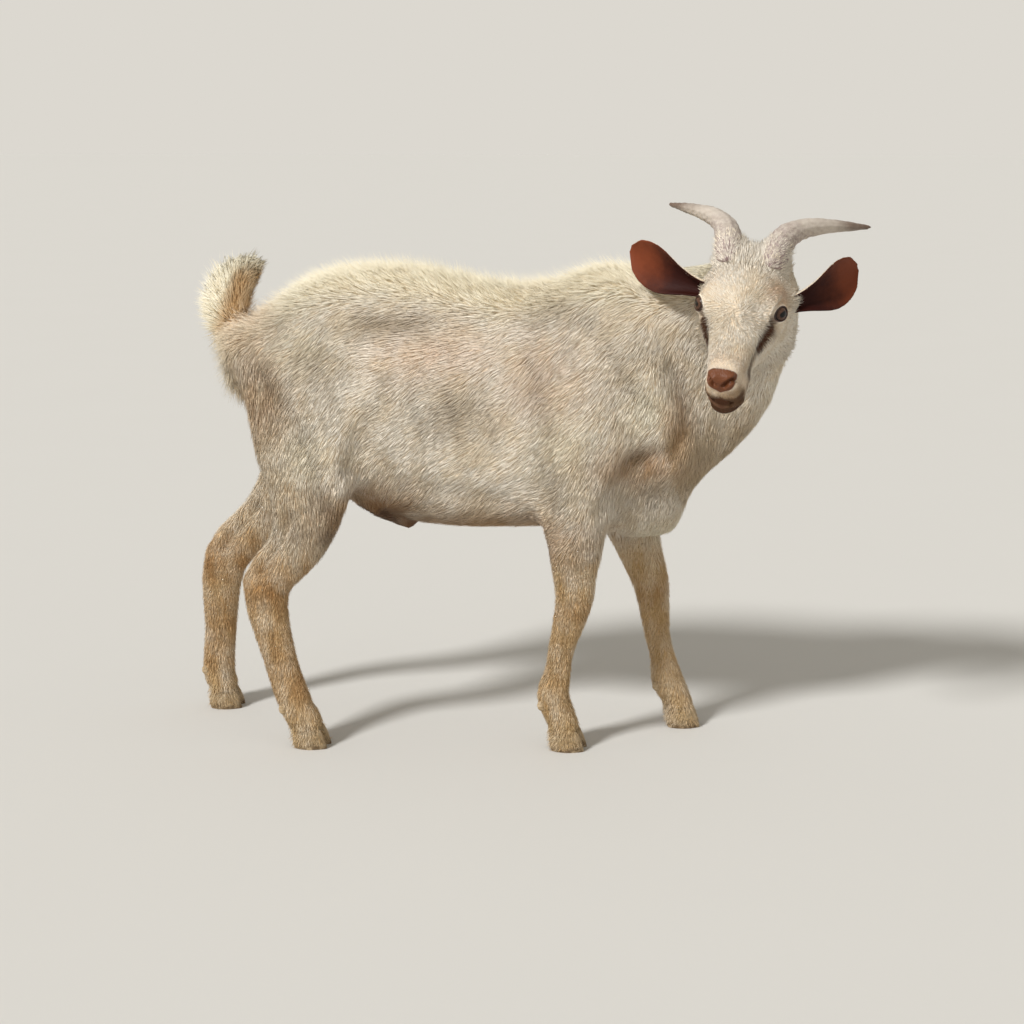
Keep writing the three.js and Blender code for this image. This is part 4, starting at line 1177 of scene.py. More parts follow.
    def furrow(self, skin: Piece) -> None:
        """Draws the muscles' edges and the hollows on both flanks and on the legs.

        Args:
            skin: the smoothed body.
        """
        mesh = skin.data
        front = box_of("trunk")[1][0]
        points = points_of(mesh)
        normals = normals_of(mesh)
        facing = smooth(np.abs(normals[:, 1]), 0.25, 0.6) * smooth(points[:, 2], 0.24, 0.28)
        facing *= 1 - smooth(points[:, 0], front + 0.01, front + 0.03)
        flat = points * (1, 0, 1)
        for stroke in self.furrows:
            path = [tuple(spot("trunk", corner) * (1, 0, 1)) for corner in stroke.path]
            gap = path_distance(flat, path) / MM
            push = stroke.push * np.exp(-(gap / stroke.radius) ** 2) * facing * MM
            points = points + normals * push[:, None]
        node = self.nearest_nodes(points)
        for name, stroke in self.leg_strokes:
            gap = path_distance(points, [tuple(spot(name, corner)) for corner in stroke.path]) / MM
            push = stroke.push * np.exp(-(gap / stroke.radius) ** 2) * (node == name) * MM
            points = points + normals * push[:, None]
        place_points(mesh, points)

    def refine(self, skin: Piece, wanted: Callable[[Array], Array]) -> None:
        """Halves the faces whose middles pass a test.

        Args:
            skin: what to refine.
            wanted: the test, given N places in the head's frame.
        """
        bm = bmesh.new()
        bm.from_mesh(skin.data)
        middles = np.array([f.calc_center_median()[:] for f in bm.faces])
        chosen = wanted(self.head.local(middles))
        edges = {e for f, keep in zip(bm.faces, chosen) if keep for e in f.edges}
        bmesh.ops.subdivide_edges(bm, edges=list(edges), cuts=1, use_grid_fill=True)
        bmesh.ops.triangulate(bm, faces=[f for f in bm.faces if len(f.verts) > 4])
        bm.to_mesh(skin.data)
        bm.free()

    def on_front(self, local: Array) -> Array:
        """Whether places are on the head and not behind its horns."""
        return (distance_to(local, self.face_middle) < 105) & (local[:, 0] > -70)

    def near_detail(self, local: Array) -> Array:
        """Whether places are near the eyes, nose or mouth.

        Args:
            local: N places in the head's frame.

        Returns:
            N truth values.
        """
        near = folded(local)
        eye = self.head.local(self.eyes["left"].centre)
        at_eye = (distance_to(near, eye) < 21) & (near[:, 1] > 30)
        at_nose = (near[:, 0] > 74) & (near[:, 2] > -52)
        at_mouth = path_distance(near, self.markings.mouth_line) < 6
        return at_eye | at_nose | at_mouth

    def shape_head(self, skin: Piece) -> None:
        """Adds the folds, nostrils, lips and lids.

        Args:
            skin: the skin, with its body shaped.
        """
        self.refine(skin, self.on_front)
        self.refine(skin, self.near_detail)
        mesh = skin.data
        points = points_of(mesh)
        reach = 1 - smooth(distance_to(self.head.local(points), self.face_middle), 95, 120)
        place_points(mesh, relaxed(points, edges_of(mesh), reach * 0.7, 5))
        for stroke in self.strokes:
            self.draw(mesh, stroke)
        self.open_nostrils(mesh)
        self.draw(mesh, Stroke(self.markings.mouth_line, *self.mouth_cut))
        points = points_of(mesh)
        detail = self.near_detail(self.head.local(points)).astype(float)
        place_points(mesh, relaxed(points, edges_of(mesh), detail * 0.35, 1))
        for eye in self.eyes.values():
            self.open_lids(mesh, eye)

    def draw(self, mesh: Mesh, stroke: Stroke) -> None:
        """Makes one stroke on the head, on one side or both.

        Args:
            mesh: the skin's.
            stroke: in the head's frame.
        """
        local = self.head.local(points_of(mesh))
        gap = path_distance(folded(local), stroke.path)
        push = stroke.push * np.exp(-(gap / stroke.radius) ** 2)
        pushed(mesh, push * (local[:, 1] * stroke.side >= 0))

    def open_nostrils(self, mesh: Mesh) -> None:
        """Sinks the nostrils.

        Args:
            mesh: the skin's.
        """
        radius, depth = self.nostril_cut
        gap = self.markings.nostril_gap(self.head.local(points_of(mesh)))
        pushed(mesh, depth * np.exp(-(gap / radius) ** 2))

    def open_lids(self, mesh: Mesh, eye: EyeForm) -> None:
        """Lays lids over an eyeball and opens them.

        Args:
            mesh: the skin's.
            eye: where and how large the eye is.
        """
        points = points_of(mesh)
        along, up, out = eye.spread(points)
        near = (np.hypot(along, up) < 24) & (out > -1)
        edge = eye.opening(along, up)
        snap = near & (edge > 0.80) & (edge < 1.12)
        scale = np.where(snap, np.where(edge < 0.96, 0.93, 1.03) / np.maximum(edge, 1e-6), 1.0)
        along, up = along * scale, up * scale
        edge = eye.opening(along, up)
        distance = np.sqrt(along ** 2 + up ** 2 + out ** 2)
        lid = (1 - smooth(edge, 1.25, 2.1)) * near
        radius = distance * (1 - lid) + (eye.radius + eye.lid) * lid
        radius = np.where(near & (edge < 1), eye.radius - eye.sunk, radius)
        raised = np.sqrt(np.maximum(radius ** 2 - (along ** 2 + up ** 2), (0.25 * radius) ** 2))
        share = np.minimum(lid * 2, 1)
        raised = np.where(lid > 0, raised * share + out * (1 - share), out)
        offset = along[:, None] * eye.forward + up[:, None] * eye.above + raised[:, None] * eye.outward
        place_points(mesh, np.where(near[:, None], eye.centre + offset * MM, points))

    def add_ears(self, skin: Piece) -> None:
        """Joins the ears on and softens the skin where they meet it.

        Args:
            skin: the skin of body and head.
        """
        for name in EARS:
            ear = solid_copy([name], f"{name}_form", quads=True)
            rounded(ear, 2, 9)
            apply_modifier(skin, "BOOLEAN", object=ear, operation="UNION", solver="EXACT")
            mesh = skin.data
            points = points_of(mesh)
            on_ear = gaps_to(tree_of(ear), points, 8 * MM) < 0.05 * MM
            delete_object(ear)
            a, b = edges_of(mesh).T
            crossing = on_ear[a] != on_ear[b]
            soft = np.zeros(len(points))
            soft[a[crossing]] = 1
            soft[b[crossing]] = 1
            for _ in range(5):
                spread = soft.copy()
                np.maximum.at(spread, a, soft[b] * 0.75)
                np.maximum.at(spread, b, soft[a] * 0.75)
                soft = spread
            place_points(mesh, relaxed(points, edges_of(mesh), soft * 0.9, 4))

    def inner_ear(self, normals: Array, node: Array) -> Array:
        """Which places are in the hollow of an ear.

        Args:
            normals: the skin's directions at N places.
            node: the nearest flesh node of each.

        Returns:
            1 inside the hollow, down to 0 on the ear's back.
        """
        out = np.zeros(len(normals))
        for name in EARS:
            along = unit(middle_of(name) - middle_of("head"))
            facing = unit(np.array((0, -1.0, -0.25)))
            facing = unit(facing - along * (facing @ along))
            out = np.where(node == name, smooth(normals @ facing, -0.05, 0.35), out)
        return out

    def ear_reach(self, points: Array, node: Array) -> Array:
        """How far out along an ear places lie.

        Args:
            points: N places in metres.
            node: the nearest flesh node of each.

        Returns:
            0 at the root of an ear and away from the ears, 1 at a tip.
        """
        out = np.zeros(len(points))
        for name in EARS:
            along = unit(middle_of(name) - middle_of("head"))
            reach = (points - middle_of(name)) @ along / MM
            out = np.where(node == name, smooth(reach, -42, 50), out)
        return out

    def bareness(self, points: Array, inner: Array, node: Array) -> Array:
        """Where no hair grows: nose, lips, lids and the hollows of the ears.

        Args:
            points: N places in metres.
            inner: which of them are in the hollow of an ear, from 0 to 1.
            node: the nearest flesh node of each.

        Returns:
            1 on bare skin and 0 elsewhere.
        """
        near = folded(self.head.local(points))
        bare = path_distance(near, self.markings.mouth_line) < 2.8
        bare |= self.markings.in_lips(near) > 0.3
        bare |= path_distance(near, self.markings.rim_line) < 1.8
        bare |= self.markings.on_pad(near) > -0.3
        bare = (inner > 0.5) | ((node == "head") & bare)
        for eye in self.eyes.values():
            along, up, out = eye.spread(points)
            bare |= (np.hypot(along, up) < 16) & (out > 0) & (eye.opening(along, up) < 1.32)
        return bare.astype(float)

    def build(self) -> Piece:
        """Makes the skin and stores its markings.

        Returns:
            The skin, with an attribute for each marking, one for bareness and one for the inner ear.
        """
        self.index_nodes()
        skin = self.rough_body()
        self.set_inside(skin)
        self.furrow(skin)
        self.shape_head(skin)
        self.add_ears(skin)
        mesh = skin.data
        points = points_of(mesh)
        node = self.nearest_nodes(points)
        inner = self.inner_ear(normals_of(mesh), node)
        for mask, values in self.markings.at(points, node).items():
            store(mesh, mask.value, values)
        store(mesh, "inner_ear", inner)
        store(mesh, "ear_reach", self.ear_reach(points, node))
        store(mesh, "bare", self.bareness(points, inner, node))
        only(skin)
        bpy.ops.object.shade_smooth()
        return skin


# ---- coat


@dataclass(frozen=True)
class Hair:
    """The size and stand of one kind of tuft: millimetres, and degrees off the skin."""

    length: float
    width: float
    spacing: float
    lift: float

    def numbers(self) -> Array:
        """The four as a row."""
        return np.array((self.length, self.width, self.spacing, self.lift))


@dataclass
class Coat:
    """The coat: thin tufts that overlap and lie along the body, in a joined mesh for each region."""

    skin: Skin
    lie: Lie
    body: Hair = Hair(18.5, 0.95, 1.82, 7)
    ridge: Hair = Hair(21, 0.8, 1.6, 46)
    fringe: Hair = Hair(21, 0.8, 1.5, 52)
    belly: Hair = Hair(17, 1.0, 1.8, 7)
    breech: Hair = Hair(19, 1.0, 1.75, 10)
    brisket: Hair = Hair(15, 0.9, 1.6, 10)
    tail: Hair = Hair(21, 0.85, 1.15, 38)
    tail_front: Hair = Hair(14, 0.8, 1.25, 20)
    coronet: Hair = Hair(9, 0.7, 1.1, 40)
    whorl: Hair = Hair(9, 0.65, 1.0, 14)
    horn_root: Hair = Hair(12, 0.90, 0.72, 32)
    shank: Hair = Hair(9.5, 0.85, 1.68, 11)
    beard: Hair = Hair(22, 0.9, 1.2, 40)
    face: Hair = Hair(8.0, 0.68, 1.15, 9)
    muzzle: Hair = Hair(2.4, 0.50, 0.85, 12)
    poll: Hair = Hair(14, 0.85, 1.2, 30)
    jaw: Hair = Hair(13, 1.0, 1.4, 18)
    ear: Hair = Hair(4.0, 0.75, 1.4, 8)
    ear_root: Hair = Hair(16, 0.8, 1.8, 20)
    widest: float = 0.36
    peak: float = 0.24
    lengths: tuple[float, float] = (0.6, 1.3)
    widths: tuple[float, float] = (0.7, 1.2)
    lifts: tuple[float, float] = (0.4, 1.6)
    turn: float = 0.085
    own_tint: float = 0.60
    clump_tint: float = 0.45
    root_depth: float = 0.5
    above_floor: float = 0.8
    poll_top: Triple = (-52, 0, 36)
    ear_base: Triple = (-36, 42, -14)
    eye_place: Triple = (2, 42, 0)
    horn_reach: float = 0.012
    haunch_end: float = 0.36
    barrel_end: float = 0.68
    way_passes: int = 10
    hair_passes: int = 4
    patch: float = 0.003
    most: int = 33000
    rng: np.random.Generator = field(default_factory=lambda: np.random.default_rng(SEED))
    clump: Ripples = field(default_factory=lambda: Ripples(0.007, 51))
    stations: Array | None = None
    faces: Array | None = None

    def model_tuft(self) -> None:
        """Models the one tuft that all are copies of: a flat ridged sliver pointed at both ends, closed."""
        bpy.ops.mesh.primitive_circle_add(
            vertices=3, radius=0.5, location=(self.widest, 0, 0), rotation=(0, math.pi / 2, 0))
        tuft = bpy.context.active_object
        bpy.ops.object.transform_apply(location=True, rotation=True, scale=True)
        for end in (1.0, 0.0):
            bpy.ops.object.mode_set(mode="EDIT")
            bpy.ops.mesh.select_all(action="DESELECT")
            bpy.ops.object.mode_set(mode="OBJECT")
            for edge in tuft.data.edges:
                edge.select = all(abs(tuft.data.vertices[v].co.x - self.widest) < 0.01 for v in edge.vertices)
            bpy.ops.object.mode_set(mode="EDIT")
            bpy.ops.mesh.extrude_region_move(TRANSFORM_OT_translate={"value": (end - self.widest, 0, 0)})
            bpy.ops.mesh.merge(type="COLLAPSE")
            bpy.ops.object.mode_set(mode="OBJECT")
        face_outwards(tuft)
        points = points_of(tuft.data)
        middle = np.abs(points[:, 0] - self.widest) < 0.01
        top = middle & (points[:, 2] > 0.3)
        points[:, 2] = np.where(top, self.peak, 0.0)
        points[:, 1] = np.where(middle & ~top, 0.5 * np.sign(points[:, 1]), 0.0)
        self.stations = points
        self.faces = np.array([tuple(p.vertices) for p in tuft.data.polygons])
        delete_object(tuft)

    def hair_at(self, points: Array, node: Array) -> Array:
        """The sizes of the tufts at each place.

        Args:
            points: N places on the skin, in metres.
            node: the nearest flesh node of each.

        Returns:
            N by 4: length, width, spacing and lift.
        """
        out = np.tile(self.body.numbers(), (len(points), 1))
        low, high = box_of("trunk")
        along = along_trunk(points)
        height = points[:, 2]

        def lay(hair: Hair, share: Array) -> None:
            """Mixes in one kind of hair."""
            out[:] += share[:, None] * (hair.numbers() - out)

        body = np.isin(node, ("trunk", "neck"))
        lay(self.belly, smooth(height, low[2] + 0.075, low[2] + 0.03) * (node == "trunk"))
        lay(self.breech, smooth(along, 0.20, 0.10) * smooth(height, 0.26, 0.32) * (height < high[2] - 0.10))
        under = self.skin.markings.back.below(points)
        lay(self.ridge, smooth(under, 0.040, 0.018) * body * smooth(points[:, 0], 0.19, 0.11))
        seam = smooth(along, 0.11, 0.06) * smooth(np.abs(off_middle(points)), 0.035, 0.015)
        lay(self.fringe, seam * smooth(height, 0.37, 0.41) * (node == "trunk"))
        lay(self.brisket, smooth(along, 0.84, 0.92) * smooth(height, low[2] + 0.045, low[2] + 0.015) * body)
        lay(self.shank, smooth(height, 0.285, 0.20) * np.isin(node, LEGS))
        lay(self.coronet, smooth(height, 0.032, 0.024) * np.isin(node, LEGS))
        lay(self.tail, (node == "tail") * 1.0)
        lay(self.tail_front, (node == "tail") * self.skin.markings.tail_front(points))
        head = node == "head"
        local = self.skin.head.local(points)
        near = folded(local)
        lay(self.face, head * 1.0)
        lay(self.jaw, head * smooth(local[:, 2], -38, -62) * smooth(local[:, 0], 62, 40))
        lay(self.beard, head * smooth(distance_to(near, self.lie.beard), 15, 8))
        sheath = spot("trunk", self.skin.markings.sheath_tip)
        lay(self.muzzle, smooth(distance_to(points, sheath), 0.032, 0.016) * (node == "trunk"))
        lay(self.poll, head * smooth(distance_to(near, self.poll_top), 30, 12))
        lay(self.whorl, head * smooth(distance_to(near, self.lie.whorl), 16, 6))
        lay(self.horn_root, head * smooth(self.horn_gaps(points, head), 0.008, 0.003))
        lay(self.ear_root, head * smooth(distance_to(near, self.ear_base), 16, 7))
        eye_gap = distance_to(near, self.eye_place)
        lay(self.muzzle, head * np.maximum(smooth(local[:, 0], 58, 78), smooth(eye_gap, 20, 13)))
        lay(self.ear, np.isin(node, EARS) * 1.0)
        return out

    def horn_gaps(self, points: Array, head: Array) -> Array:
        """How far places of the head are from a horn.

        Args:
            points: N places on the skin, in metres.
            head: which of them are on the head.

        Returns:
            N distances in metres, and 1 off the head.
        """
        out = np.ones(len(points))
        out[head] = gaps_to_nodes(HORNS, points[head], self.horn_reach)
        return out

    def region_of(self, points: Array, node: Array) -> Array:
        """Which coat piece each place belongs to.

        Args:
            points: N places in metres.
            node: the nearest flesh node of each.

        Returns:
            N names.
        """
        along = along_trunk(points)
        side = np.where(off_middle(points) < 0, "right", "left")
        front = np.where(along < self.barrel_end, "barrel", "shoulder")
        part = np.where(along < self.haunch_end, "haunch", front)
        out = np.char.add(np.char.add(part, "_"), side)
        out = np.where(node == "neck", "neck", out)
        out = np.where(node == "tail", "tail", out)
        out = np.where(np.isin(node, LEGS[:2]), "forelegs", out)
        out = np.where(np.isin(node, LEGS[2:]), "hindlegs", out)
        out = np.where(np.isin(node, EARS), "ears", out)
        return np.where(node == "head", "face", out)

    def unwrapped(self, skin: Piece, chosen: Array) -> Array:
        """Unwraps the skin's own shape under one region.

        Args:
            skin: the finished skin.
            chosen: which of its triangles belong to the region.

        Returns:
            The three corners of each chosen triangle on the unwrap, K by 3 by 2.
        """
        triangles = triangles_of(skin.data)[chosen]
        used, flat = np.unique(triangles, return_inverse=True)
        mesh = bpy.data.meshes.new("unwrap")
        mesh.from_pydata(points_of(skin.data)[used].tolist(), [], flat.reshape(-1, 3).tolist())
        piece = bpy.data.objects.new("unwrap", mesh)
        bpy.context.collection.objects.link(piece)
        only(piece)
        edit(bpy.ops.uv.smart_project, angle_limit=math.radians(66), island_margin=0.004)
        corners = read_rows(mesh.uv_layers.active.data, "uv", 2, np.float32)
        delete_object(piece)
        return corners.reshape(-1, 3, 2).astype(float)

    def grow(self, skin: Piece) -> list[Piece]:
        """Grows the whole coat.

        Args:
            skin: the finished skin, with its markings.

        Returns:
            One piece for each region.
        """
        self.model_tuft()
        mesh = skin.data
        points = points_of(mesh)
        normals = normals_of(mesh)
        node = self.skin.nearest_nodes(points)
        ways = self.evened(self.lie.at(points, normals, node), mesh, node, self.way_passes)
        hair = self.evened(self.hair_at(points, node), mesh, node, self.hair_passes)
        data = {"normal": normals, "way": ways, "hair": hair}
        for name in (*(mask.value for mask in Mask), "bare"):
            data[name] = read_rows(mesh.attributes[name].data, "value", 1, np.float32).astype(float)
        triangles = triangles_of(mesh)
        middles = points[triangles].mean(1)
        regions = self.region_of(middles, node[triangles[:, 0]])
        tree = BVHTree.FromPolygons(points.tolist(), triangles.tolist())
        pieces = []
        for region in sorted(set(regions)):
            chosen = np.flatnonzero(regions == region)
            unwrap = self.unwrapped(skin, chosen)
            pieces.append(self.grow_region(region, points, triangles[chosen], data, tree, unwrap))
        return pieces

    def evened(self, values: Array, mesh: Mesh, node: Array, passes: int) -> Array:
        """Blends what holds on the body across the borders of its parts, leaving head and ears as they are.

        Args:
            values: N by K.
            mesh: the skin's.
            node: the nearest flesh node of each vertex.
            passes: how many times.

        Returns:
            The blended values.
        """
        kept = np.isin(node, ("head", *EARS))[:, None]
        edges = edges_of(mesh)
        for _ in range(passes):
            values = np.where(kept, values, 0.5 * values + 0.5 * neighbour_mean(values, edges))
        return values

    def grow_region(
            self, region: str, points: Array, triangles: Array, data: dict[str, Array],
            tree: BVHTree, unwrap: Array) -> Piece:
        """Grows the coat of one region.

        Args:
            region: its name.
            points: the skin's vertices.
            triangles: the region's, by the numbers of their vertices.
            data: what is known at each vertex of the skin.
            tree: a search tree over the whole skin.
            unwrap: the triangles' corners on the unwrap.

        Returns:
            The region's coat.
        """
        corners = points[triangles]
        first, second, third = (corners[:, i] for i in range(3))
        area = np.linalg.norm(np.cross(second - first, third - first), axis=1) / 2
        spacing = data["hair"][triangles, 2].mean(1) * MM
        growing = data["bare"][triangles, 0].mean(1) < 0.5
        wanted = growing * area / spacing ** 2
        wanted *= min(1.0, self.most / max(wanted.sum(), 1))
        count = np.floor(wanted + self.rng.random(len(wanted))).astype(int)
        owner = np.repeat(np.arange(len(triangles)), count)
        share = self.rng.dirichlet((1, 1, 1), len(owner))

        def mixed(values: Array) -> Array:
            """What holds at each root, from the values at its triangle's corners."""
            return (values[triangles[owner]] * share[:, :, None]).sum(1)

        roots = (corners[owner] * share[:, :, None]).sum(1)
        normal = unit(mixed(data["normal"]))
        hair = mixed(data["hair"])
        amount = len(owner)
        way = flattened(mixed(data["way"]), normal)
        turn = self.rng.normal(0, self.turn, amount)[:, None]
        way = way * np.cos(turn) + np.cross(normal, way) * np.sin(turn)
        length = hair[:, 0] * self.rng.uniform(*self.lengths, amount) * MM
        width = hair[:, 1] * self.rng.uniform(*self.widths, amount) * MM
        lift = np.radians(hair[:, 3]) * self.rng.uniform(*self.lifts, amount)
        path = self.bent_paths(roots, normal, way, length, lift, tree)
        across = unit(np.cross(normal, way))
        rows = []
        for along, sideways, height in self.stations:
            line = self.on_path(path, along)
            rows.append(line + across * (sideways * width)[:, None] + normal * (height * width)[:, None])
        places = np.stack(rows, axis=1)
        piece = self.joined(f"coat_{region}", places)
        stations = len(self.stations)
        for mask in Mask:
            store(piece.data, mask.value, np.repeat(mixed(data[mask.value])[:, 0], stations))
        tint = self.own_tint * self.rng.uniform(-1, 1, amount) + self.clump_tint * self.clump.at(roots)
        store(piece.data, "tint", np.repeat(tint, stations))
        store(piece.data, "tip", np.tile(self.stations[:, 0], amount))
        self.lay_patches(piece, (unwrap[owner] * share[:, :, None]).sum(1))
        return piece

    def bent_paths(
            self, roots: Array, normal: Array, way: Array, length: Array,
            lift: Array, tree: BVHTree) -> Array:
        """Lays the line of each tuft along the skin and above the floor.

        Args:
            roots: the places of the N tufts.
            normal: the skin's directions there.
            way: the hair's directions there.
            length: of each tuft, in metres.
            lift: of each tuft, in radians.
            tree: a search tree over the skin.

        Returns:
            The root, middle and tip of each, N by 3 by 3.
        """
        path = np.empty((len(roots), 3, 3))
        path[:, 0] = roots - normal * self.root_depth * MM
        for step, share in ((1, 0.5), (2, 1.0)):
            reach = length * share
            ahead = roots + way * (reach * np.cos(lift))[:, None]
            for i, place in enumerate(ahead):
                hit, facing, _, _ = tree.find_nearest(place)
                way_up = np.array(facing) + normal[i]
                size = np.linalg.norm(way_up)
                if (hit - Vector(place)).length < 0.010 and size > 1.2:
                    path[i, step] = np.array(hit) + way_up / size * reach[i] * math.sin(lift[i])
                else:
                    path[i, step] = roots[i] + (0.35 * way[i] + 0.06 * normal[i]) * reach[i]
        path[:, 1:, 2] = np.maximum(path[:, 1:, 2], self.above_floor * MM)
        return path

    def on_path(self, path: Array, along: float) -> Array:
        """A place on each tuft's line, from 0 at the root to 1 at the tip."""
        a, b, c = path[:, 0], path[:, 1], path[:, 2]
        return a * (1 - along) ** 2 + (2 * b - (a + c) / 2) * 2 * along * (1 - along) + c * along ** 2

    def joined(self, name: str, places: Array) -> Piece:
        """Makes one mesh of all the tufts of a region.

        Args:
            name: of the piece.
            places: of the vertices, N tufts by S by 3.

        Returns:
            The piece.
        """
        amount, stations, _ = places.shape
        faces = (self.faces[None] + (np.arange(amount) * stations)[:, None, None]).reshape(-1, 3)
        mesh = bpy.data.meshes.new(name)
        mesh.vertices.add(amount * stations)
        mesh.loops.add(len(faces) * 3)
        mesh.polygons.add(len(faces))
        mesh.vertices.foreach_set("co", places.astype(np.float32).ravel())
        mesh.loops.foreach_set("vertex_index", faces.astype(np.int32).ravel())
        mesh.polygons.foreach_set("loop_start", np.arange(0, len(faces) * 3, 3, dtype=np.int32))
        mesh.polygons.foreach_set("loop_total", np.full(len(faces), 3, np.int32))
        mesh.update(calc_edges=True)
        piece = bpy.data.objects.new(name, mesh)
        bpy.context.collection.objects.link(piece)
        return piece

    def lay_patches(self, piece: Piece, roots: Array) -> None:
        """Gives each tuft a small patch of the bake map.

        Args:
            piece: the region's coat.
            roots: the tufts' places on the skin's unwrap, N by 2.
        """
        layer = piece.data.uv_layers.new(name="OFBake")
        corner = self.faces.ravel()
        offsets = np.column_stack([self.stations[corner, 0] - 0.5, self.stations[corner, 1]]) * self.patch
        patches = np.clip(roots[:, None] + offsets[None], 0.0, 1.0)
        layer.data.foreach_set("uv", patches.astype(np.float32).ravel())


# ---- eyes, horns and hooves


@dataclass
class Eye:
    """One eyeball with its cornea, and the dark wet edge of its lids."""

    label: str
    form: EyeForm
    cornea: float = 0.7
    edge: float = 0.8
    edge_lift: float = 0.75
    slender: float = 0.1

    def ball(self) -> Piece:
        """Makes the eyeball, its rings lying round the line of sight.

        Returns:
            The piece, with its places in the eye's own frame stored.
        """
        form = self.form
        bpy.ops.mesh.primitive_uv_sphere_add(segments=64, ring_count=48, radius=form.radius * MM)
        eye = bpy.context.active_object
        eye.name = f"eyeball_{self.label}"
        points = points_of(eye.data) / MM
        height = points[:, 2] / form.radius
        points += unit(points) * (self.cornea * smooth(height, 0.72, 0.95))[:, None]
        place_points(eye.data, form.centre + MM * (
            points[:, :1] * form.forward + points[:, 1:2] * form.above * SIDES[self.label]
            + points[:, 2:] * form.outward))
        along, up, out = form.spread(points_of(eye.data))
        store(eye.data, "gaze_along", along)
        store(eye.data, "gaze_up", up)
        store(eye.data, "gaze_out", out)
        face_outwards(eye)
        bpy.ops.object.shade_smooth()
        return eye

    def lid_edge(self) -> Piece:
        """Makes the bare rim that runs round the opening of the lids.

        Returns:
            The piece.
        """
        bpy.ops.mesh.primitive_torus_add(
            major_segments=56, minor_segments=10, major_radius=1, minor_radius=self.slender)
        rim = bpy.context.active_object
        rim.name = f"lid_edge_{self.label}"
        points = points_of(rim.data)
        turn = np.arctan2(points[:, 1], points[:, 0])
        inward = (np.hypot(points[:, 0], points[:, 1]) - 1) / self.slender
        raised = points[:, 2] / self.slender
        placed = []
        for angle, side, up in zip(turn, inward, raised):
            middle = self.form.margin(angle, self.edge_lift)
            out = unit(middle - self.form.centre)
            ahead = (self.form.margin(angle + 0.02, self.edge_lift)
                     - self.form.margin(angle - 0.02, self.edge_lift))
            away = np.cross(unit(ahead), out) * SIDES[self.label]
            placed.append(middle + (away * side + out * up) * self.edge * MM)
        place_points(rim.data, np.array(placed))
        face_outwards(rim)
        bpy.ops.object.shade_smooth()
        return rim


@dataclass
class Horn:
    """One horn: rounded, with worn rings that fade towards the tip."""

    label: str
    ring: float = 6.0
    depth: float = 0.42
    swell: float = 2.3
    sunk: float = 7.0

    def build(self) -> Piece:
        """Rounds the CAD horn, thickens its root and raises its rings.

        Returns:
            The piece, with its height and its rings stored.
        """
        horn = solid_copy([f"horn_{self.label}"], f"horn_of_{self.label}_side", quads=True)
        rounded(horn, 3, 26)
        mesh = horn.data
        points = points_of(mesh)
        base = middle_of("head") * 0.5 + middle_of("neck") * 0.5
        reach = np.linalg.norm(points - base, axis=1)
        start, end = reach.min(), reach.max()
        rise = (reach - start) / (end - start)
        wobble = Ripples(0.02, 31).at(points)
        wave = np.sin(reach / MM * 2 * math.pi / self.ring + 1.1 * wobble)
        sharp = np.sign(wave) * np.abs(wave) ** 0.7
        height = self.depth * sharp * smooth(rise, 0.75, 0.30) * (0.6 + 0.6 * Ripples(0.012, 32).at(points))
        height += 0.25 * Ripples(0.006, 33).at(points) + self.swell * smooth(rise, 1.0, 0.25)
        height -= self.sunk * smooth(rise, 0.17, 0.04)
        place_points(mesh, points + normals_of(mesh) * height[:, None] * MM)
        store(mesh, "rise", rise)
        store(mesh, "ring", sharp * smooth(rise, 0.85, 0.4))
        only(horn)
        bpy.ops.object.shade_smooth()
        return horn


@dataclass
class Hooves:
    """All the hooves and dewclaws, rounded above and flat below."""

    ring: float = 4.0
    depth: float = 0.22
    sole: float = 0.0006
    crease: float = 0.55
    sharpest: float = 42.0

    def build(self) -> Piece:
        """Rounds the CAD claws, keeping the soles flat on the ground.

        Returns:
            The piece, with its growth rings stored.
        """
        hooves = solid_copy(claw_nodes(), "hooves", quads=True)
        mesh = hooves.data
        on_sole = points_of(mesh)[:, 2] < self.sole
        around = on_sole[edges_of(mesh)].all(1)
        crease = mesh.attributes.new("crease_edge", "FLOAT", "EDGE")
        crease.data.foreach_set("value", np.where(around, self.crease, 0.0).astype(np.float32))
        subdivided(hooves, 3)
        mesh = hooves.data
        points = points_of(mesh)
        height = points[:, 2] / MM
        wave = np.sin(height * 2 * math.pi / self.ring + 1.3 * Ripples(0.03, 41).at(points))
        push = self.depth * wave * smooth(height, 0.8, 3) * smooth(np.abs(normals_of(mesh)[:, 2]), 0.9, 0.5)
        points = points + normals_of(mesh) * push[:, None] * MM
        points[:, 2] = np.maximum(points[:, 2], 0.0)
        place_points(mesh, points)
        store(mesh, "ring", wave)
        only(hooves)
        bpy.ops.object.shade_smooth_by_angle(angle=math.radians(self.sharpest))
        return hooves


# ---- finishes


